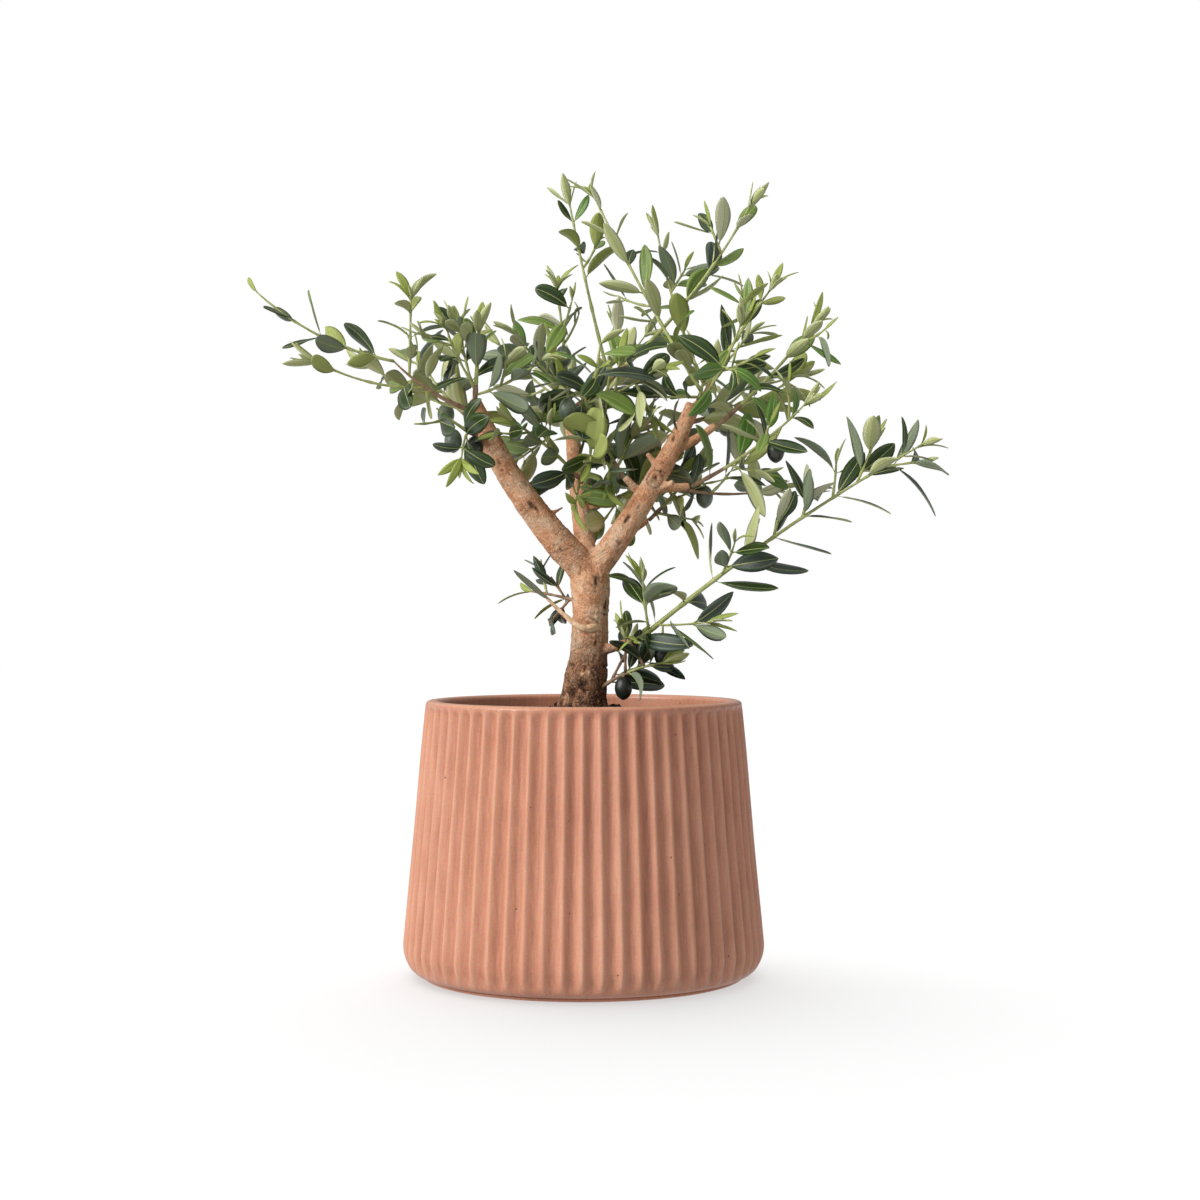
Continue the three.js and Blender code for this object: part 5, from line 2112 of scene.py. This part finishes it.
    def grow_finer(self) -> None:
        """Adds single olives and small twigs inside the crown, then nested young leaves at every tip."""
        for line, share, stalk, skin in self.plan.hung:
            self.olives.append((self.shoots[line].twig.at(share)[0], stalk, skin))
        first_fine = len(self.shoots)
        for course in self.plan.extra:
            self._take(self._branch(course), True)
        for order, shoot in enumerate(self.shoots[:first_fine]):
            count = self.plan.fill // FINE.spur_fill if shoot.is_spur else self.plan.fill
            for i in range(count):
                draw = seeded(self._seed(self.FINE_SEEDS, order) + i)
                share = lerp(*FINE.twig_part, (i + draw()) / count)
                length = lerp(*FINE.twig_length, draw())
                self._take(self._side_twig(order, share, draw() * 360, length, FINE.twig_pairs), True)
        for order in range(len(self.shoots)):
            self._leaf_out(order)

    def grow_late(self, course: Course) -> None:
        """Adds one more small twig where the grown crown has room for it."""
        if self._take(self._branch(course), True):
            self._leaf_out(len(self.shoots) - 1)

    def _leaf_out(self, order: int) -> None:
        """Sets the leaves of a fine twig, and nested young leaves at the tip of any line.

        Args:
            order: Number of the line in its mass.
        """
        seed = self._seed(self.FINE_SEEDS, order) + self.FIRST_LEAF
        shoot = self.shoots[order]
        pairs = shoot.line.course.pairs
        for pair in range(pairs if shoot.is_fine else 0):
            share, angle = pair_share(pair, pairs), (order + pair) * LEAF.pair_turn
            grown = LEAF.length * FINE.twig_leaf
            self._grow_pair(order, share, angle, FINE.twig_spread, grown, seed + pair * 2, False)
        nest = FINE.nest
        if shoot.is_spur:
            nest = FINE.spur_nest if self.plan.fill else FINE.open_nest
        for ring, (part, spread) in enumerate(nest if self.plan.nest else ()):
            angle, number = (order + ring + 1) * LEAF.pair_turn, seed + FINE.nest_seed + ring * 2
            self._grow_pair(order, 1.0, angle, spread, LEAF.length * part, number, True)

    def _leaf_tones(self, leaf: Leaf, order: int) -> list[int]:
        """Deals a leaf's tones: most of a spray share theirs, and some leaves differ.

        Args:
            leaf: The leaf.
            order: Number of its line in the mass.

        Returns:
            Material number of each face.
        """
        if leaf.young:
            return BLADE.tones(LeafTone.YOUNG, LeafTone.SAGE, LeafTone.RIB)
        spray = seeded(self.plan.seed * self.SPRAY_SEED + order)
        own = seeded(leaf.seed + self.TONE_SEED)
        draw = own if own() < FINE.odd_leaves else spray
        upper, under = (tones[int(draw() * len(tones))] for tones in self.plan.mood.tones())
        return BLADE.tones(upper, under, LeafTone.RIB)

    def leaf_piece(self, tones: Sequence[Material]) -> Object:
        """Builds all leaves of the mass as one piece."""
        builder = Builder()
        faces = BLADE.faces()
        for leaf, order in self.leaves:
            draw = seeded(leaf.seed + self.FORM_SEED)
            width = self.plan.leaf_width * lerp(*FINE.width, draw())
            width = width * (FINE.young_width if leaf.young else 1)
            small = 1 - FINE.tip_shrink * float(smoothstep(leaf.share, *FINE.tip_part))
            length = leaf.length * (1 if leaf.young else self.plan.leaf_size * small)
            roll = math.radians((draw() * 2 - 1) * FINE.roll)
            shown = replace(leaf, length=length, normal=Quaternion(leaf.along, roll) @ leaf.normal)
            builder.add((BLADE.vertices(shown, width, draw), faces), self._leaf_tones(leaf, order))
        return builder.piece(self.plan.name + "_leaves", tones)

    def twig_piece(self, skins: Sequence[Material]) -> Object:
        """Builds all twigs and stalks of the mass as one piece, woody at the stem and green beyond."""
        builder = Builder()
        green, woody = 0, 1
        for order, shoot in enumerate(self.shoots):
            spans = len(shoot.twig.points) - 1
            wood = self.plan.wood if order == 0 else float(shoot.is_fine and self.plan.wood >= FINE.woody)
            old = round(spans * wood)
            tones = [woody] * (old * FINE.sides) + [green] * ((spans - old) * FINE.sides) + [woody, green]
            builder.add(shoot.twig.tube(FINE.sides), tones)
        for point, stalk, _ in self.olives:
            builder.add(OLIVE.stem(point, stalk), green)
        return builder.piece(self.plan.name + "_twigs", skins)

    def olive_piece(self, skins: Sequence[Material]) -> Object:
        """Builds the olives of the mass as one piece."""
        builder = Builder()
        for point, stalk, skin in self.olives:
            builder.add(OLIVE.fruit(point, stalk, OLIVE.columns, OLIVE.rows), skin)
        return builder.piece(self.plan.name + "_olives", skins)


class Crown:
    """All masses of foliage, grown together so that each keeps clear of the others."""

    TRUNK_STEP = 9.0
    BOUGH_STEP = 16.0
    TRUNK_SIDES = 12
    BOUGH_SIDES = 8

    def __init__(self) -> None:
        """Grows the masses on the limbs, one kind of growth after the other."""
        limbs = grow_limbs(self.TRUNK_STEP, self.BOUGH_STEP)
        obstacles = Obstacles()
        for name, limb in limbs.items():
            sides = self.TRUNK_SIDES if name == "trunk" else self.BOUGH_SIDES
            obstacles.add(limb.tube(sides, CLEARANCE))
        self.masses = [Mass(plan, limbs, obstacles) for plan in MASSES]
        for mass in self.masses:
            mass.grow_spurs()
        for gap in OPEN_SKY:
            obstacles.add(sky_lattice(gap))
        for mass in self.masses:
            mass.grow_olives()
        for name, share in BARE_LIMBS.items():
            corners, _ = limbs[name].tube(self.BOUGH_SIDES)
            rings = round(share * (len(limbs[name].points) - 1)) + 1
            faces = grid_faces(rings, self.BOUGH_SIDES)
            for ahead in BARE_AHEAD:
                obstacles.add((corners[: rings * self.BOUGH_SIDES] - np.array((0, ahead, 0)), faces))
        for mass in self.masses:
            mass.grow_leaves()
        obstacles.reach = FINE_REACH
        for mass in self.masses:
            mass.grow_finer()
        masses = {mass.plan.name: mass for mass in self.masses}
        for name, course in LATE_TWIGS:
            masses[name].grow_late(course)

    def dress(self) -> None:
        """Builds leaves, twigs and olives of each mass and puts them in place of its solid."""
        tones = [tone.material() for tone in LEAF_TONES]
        skins = [GREEN_SHOOT.material(), WOODY_TWIG.material()]
        fruit = [DARK_OLIVE.material(), GREY_OLIVE.material()]
        for mass in self.masses:
            node = "foliage_" + mass.plan.name
            settle(mass.leaf_piece(tones), "foliage", node)
            settle(mass.twig_piece(skins), "foliage", node)
            if mass.olives:
                settle(mass.olive_piece(fruit), "foliage", node)


@dataclass
class Snag:
    """The dead twig low on the trunk, bleached and splintered, with one dry leaf near its end."""

    path: tuple[Place, ...] = (
        (8.4, -6.0, 215.0), (5.4, -12.5, 214.4), (0.3, -15.0, 214.2), (-6.5, -14.5, 217.9),
        (-13.8, -14.0, 224.6), (-20.0, -15.0, 230.8), (-26.1, -17.5, 236.9),
    )
    rounds: int = 3
    sides: int = 12
    base: float = 3.1
    tip: float = 0.45
    collar: float = 0.6
    collar_part: float = 0.1
    splinter: float = 0.5
    splinter_turns: float = 2.3
    splinters: float = 5.0
    leaf_at: float = 0.78
    leaf_way: Place = (-0.7, -0.33, 0.63)
    leaf_turn: float = 50.0
    leaf_length: float = 33.0
    leaf_width: float = 0.13
    seed: int = 41

    def line(self) -> Line:
        """The twig's line, with its corners cut off a few times over."""
        near, far = 0.75, 0.25
        points = np.array(self.path)
        for _ in range(self.rounds):
            early = points[:-1] * near + points[1:] * far
            late = points[:-1] * far + points[1:] * near
            cut = np.stack([early, late], 1).reshape(-1, 3)
            points = np.concatenate([points[:1], cut, points[-1:]])
        return Line.through([Vector(point) for point in points], self.base, self.tip)

    def dress(self) -> None:
        """Builds twig and leaf and puts them in place of the snag's solid."""
        line = self.line()
        corners, faces = line.tube(self.sides)
        count = len(line.points)
        centres = np.repeat(np.array(line.points), self.sides, axis=0)
        share = np.repeat(np.linspace(0, 1, count), self.sides)
        turn = np.tile(np.arange(self.sides) / self.sides * math.tau, count)
        spots = zip(
            np.cos(turn) * self.splinter_turns, np.sin(turn) * self.splinter_turns, share * self.splinters
        )
        grown = 1 + self.splinter * np.array([noise.noise(spot) for spot in spots])
        grown = grown + self.collar / self.base * np.exp(-share / self.collar_part)
        builder = Builder()
        builder.add((centres + (corners - centres) * grown[:, None], faces))
        settle(builder.piece("dead_twig", [DEAD_TWIG.material()]), "dead_wood", DEAD_LIMB)
        point, axes = line.at(self.leaf_at)
        way, normal = Vector(self.leaf_way).normalized(), outward(axes, self.leaf_turn)
        leaf = Leaf(point, way, normal, self.leaf_length, self.seed)
        dry = Builder()
        dry.add((BLADE.vertices(leaf, self.leaf_width, seeded(self.seed)), BLADE.faces()))
        settle(dry.piece("dry_leaf", [LeafTone.DRY.material()]), "dead_wood", DEAD_LIMB)


# Studio


@dataclass(frozen=True)
class Lamp:
    """A broad light: where it stands, seen from the plant, its strength and how wide it is in degrees."""

    name: str
    side: Place
    strength: float
    softness: float

    def hang(self, pieces: Iterable[Object], shaded_by: Sequence[Object] = ()) -> None:
        """Hangs the light so that it falls on some pieces alone.

        Args:
            pieces: What it falls on.
            shaded_by: What throws a shadow in it, all pieces if none is named.
        """
        data = bpy.data.lights.new(self.name, "SUN")
        data.energy = self.strength
        data.angle = math.radians(self.softness)
        made = bpy.data.objects.new(self.name, data)
        made.rotation_euler = Vector(self.side).to_track_quat("Z", "Y").to_euler()
        bpy.context.scene.collection.objects.link(made)
        lit = bpy.data.collections.new(self.name + "_falls_on")
        made.light_linking.receiver_collection = lit
        for piece in pieces:
            lit.objects.link(piece)
        if shaded_by:
            shades = bpy.data.collections.new(self.name + "_shaded_by")
            made.light_linking.blocker_collection = shades
            for piece in shaded_by:
                shades.objects.link(piece)


@dataclass
class Studio:
    """Plain pale floor, white surround, light from the left, and the camera at the plant's front.

    The surround is white to the eye. As a light it is bright towards the key side and dim on the other,
    like a studio with a wall of soft boxes on the left.
    """

    camera_place: Place = (10.1, -1400.0, 232.0)
    lens: float = 67.74
    sensor: float = 36.0
    sight: float = 100.0
    floor_side: float = 12000.0
    floor_tone: str = "#A0A0A0"
    floor_roughness: float = 0.9
    floor_glow: float = 0.555
    shade: float = 0.3
    bright: float = 0.72
    key: Lamp = Lamp("key_light", (-0.74, -0.46, 0.49), 2.6, 50.0)
    solid: Lamp = replace(key, name="solid_light", softness=24.0)
    back: Lamp = Lamp("back_light", (-0.15, 0.6, 0.78), 3.3, 80.0)

    SOLID = ("ribbed_pot", "bark", "dead_twig")

    def camera(self) -> None:
        """Sets up a level camera that looks along +Y."""
        data = bpy.data.cameras.new("front_camera")
        data.lens = self.lens
        data.sensor_width = self.sensor
        data.clip_end = self.sight
        made = bpy.data.objects.new("front_camera", data)
        made.location = Vector(self.camera_place) * MM
        made.rotation_euler = (math.pi / 2, 0, 0)
        bpy.context.scene.collection.objects.link(made)
        bpy.context.scene.camera = made

    def floor(self) -> Object:
        """Lays the floor, which isn't part of the plant and throws no light back on it."""
        half = self.floor_side / 2
        builder = Builder()
        corners = np.array([(-half, -half, 0), (half, -half, 0), (half, half, 0), (-half, half, 0)])
        builder.add((corners, [(0, 1, 2, 3)]))
        settings = {
            "Base Color": linear(self.floor_tone),
            "Roughness": self.floor_roughness,
            "Specular IOR Level": 0.0,
            "Emission Color": linear(WHITE),
            "Emission Strength": self.floor_glow,
        }
        piece = builder.piece("studio_floor", [plain_material("studio_paper", settings)])
        piece.visible_diffuse = False
        piece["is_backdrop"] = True
        return piece

    def surround(self) -> None:
        """Makes the world: white to the eye, and as a light brightest towards the key side."""
        world = bpy.data.worlds.new("studio")
        world.use_nodes = True
        world.node_tree.nodes.clear()
        add = partial(add_node, world.node_tree)
        key = Vector(self.key.side).normalized()
        limits = (-1.0, 1.0, self.shade, self.bright)
        way = add("TexCoord").outputs["Generated"]
        facing = add("VectorMath", {"operation": "DOT_PRODUCT", 1: key}, {0: way})
        light = add("MapRange", dict(zip(RANGE_NAMES, limits)), {"Value": facing})
        seen = add("LightPath").outputs["Is Camera Ray"]
        strength = add("Mix", {NUMBER_B: 1.0}, {0: seen, NUMBER_A: light})
        sky = add("Background", {"Color": linear(WHITE)}, {"Strength": strength})
        add("OutputWorld", links={"Surface": sky})
        bpy.context.scene.world = world

    def dress(self) -> None:
        """Sets up camera, floor, surround and lights.

        The key light falls on foliage and soil. A narrower one from the same side falls on pot, bark and
        dead twig, where the pot alone throws a shadow. A light from behind falls on the floor alone.
        """
        self.camera()
        floor = self.floor()
        self.surround()
        solid = [bpy.data.objects[name] for name in self.SOLID]
        soft = [piece for piece in bpy.data.objects if piece.type == "MESH" and piece not in (floor, *solid)]
        self.key.hang(soft)
        self.solid.hang(solid, solid[:1])
        self.back.hang([floor])
        bpy.context.scene.view_settings.view_transform = "Standard"


def write_sizes() -> None:
    """Works out the box of the solids and the box of the finished plant, and keeps neither."""
    boxes = {"cad": CAD_BOX, "visual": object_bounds()}
    sizes = {name: [list(corner) for corner in box] for name, box in boxes.items()}


def main() -> None:
    """Builds the plant, its pot and the studio."""
    logging.basicConfig(level=logging.INFO, format="%(name)s %(message)s")
    Pot().dress()
    Soil().dress()
    Bark().dress()
    Snag().dress()
    Crown().dress()
    Studio().dress()
    write_sizes()


if __name__ == "__main__":
    main()
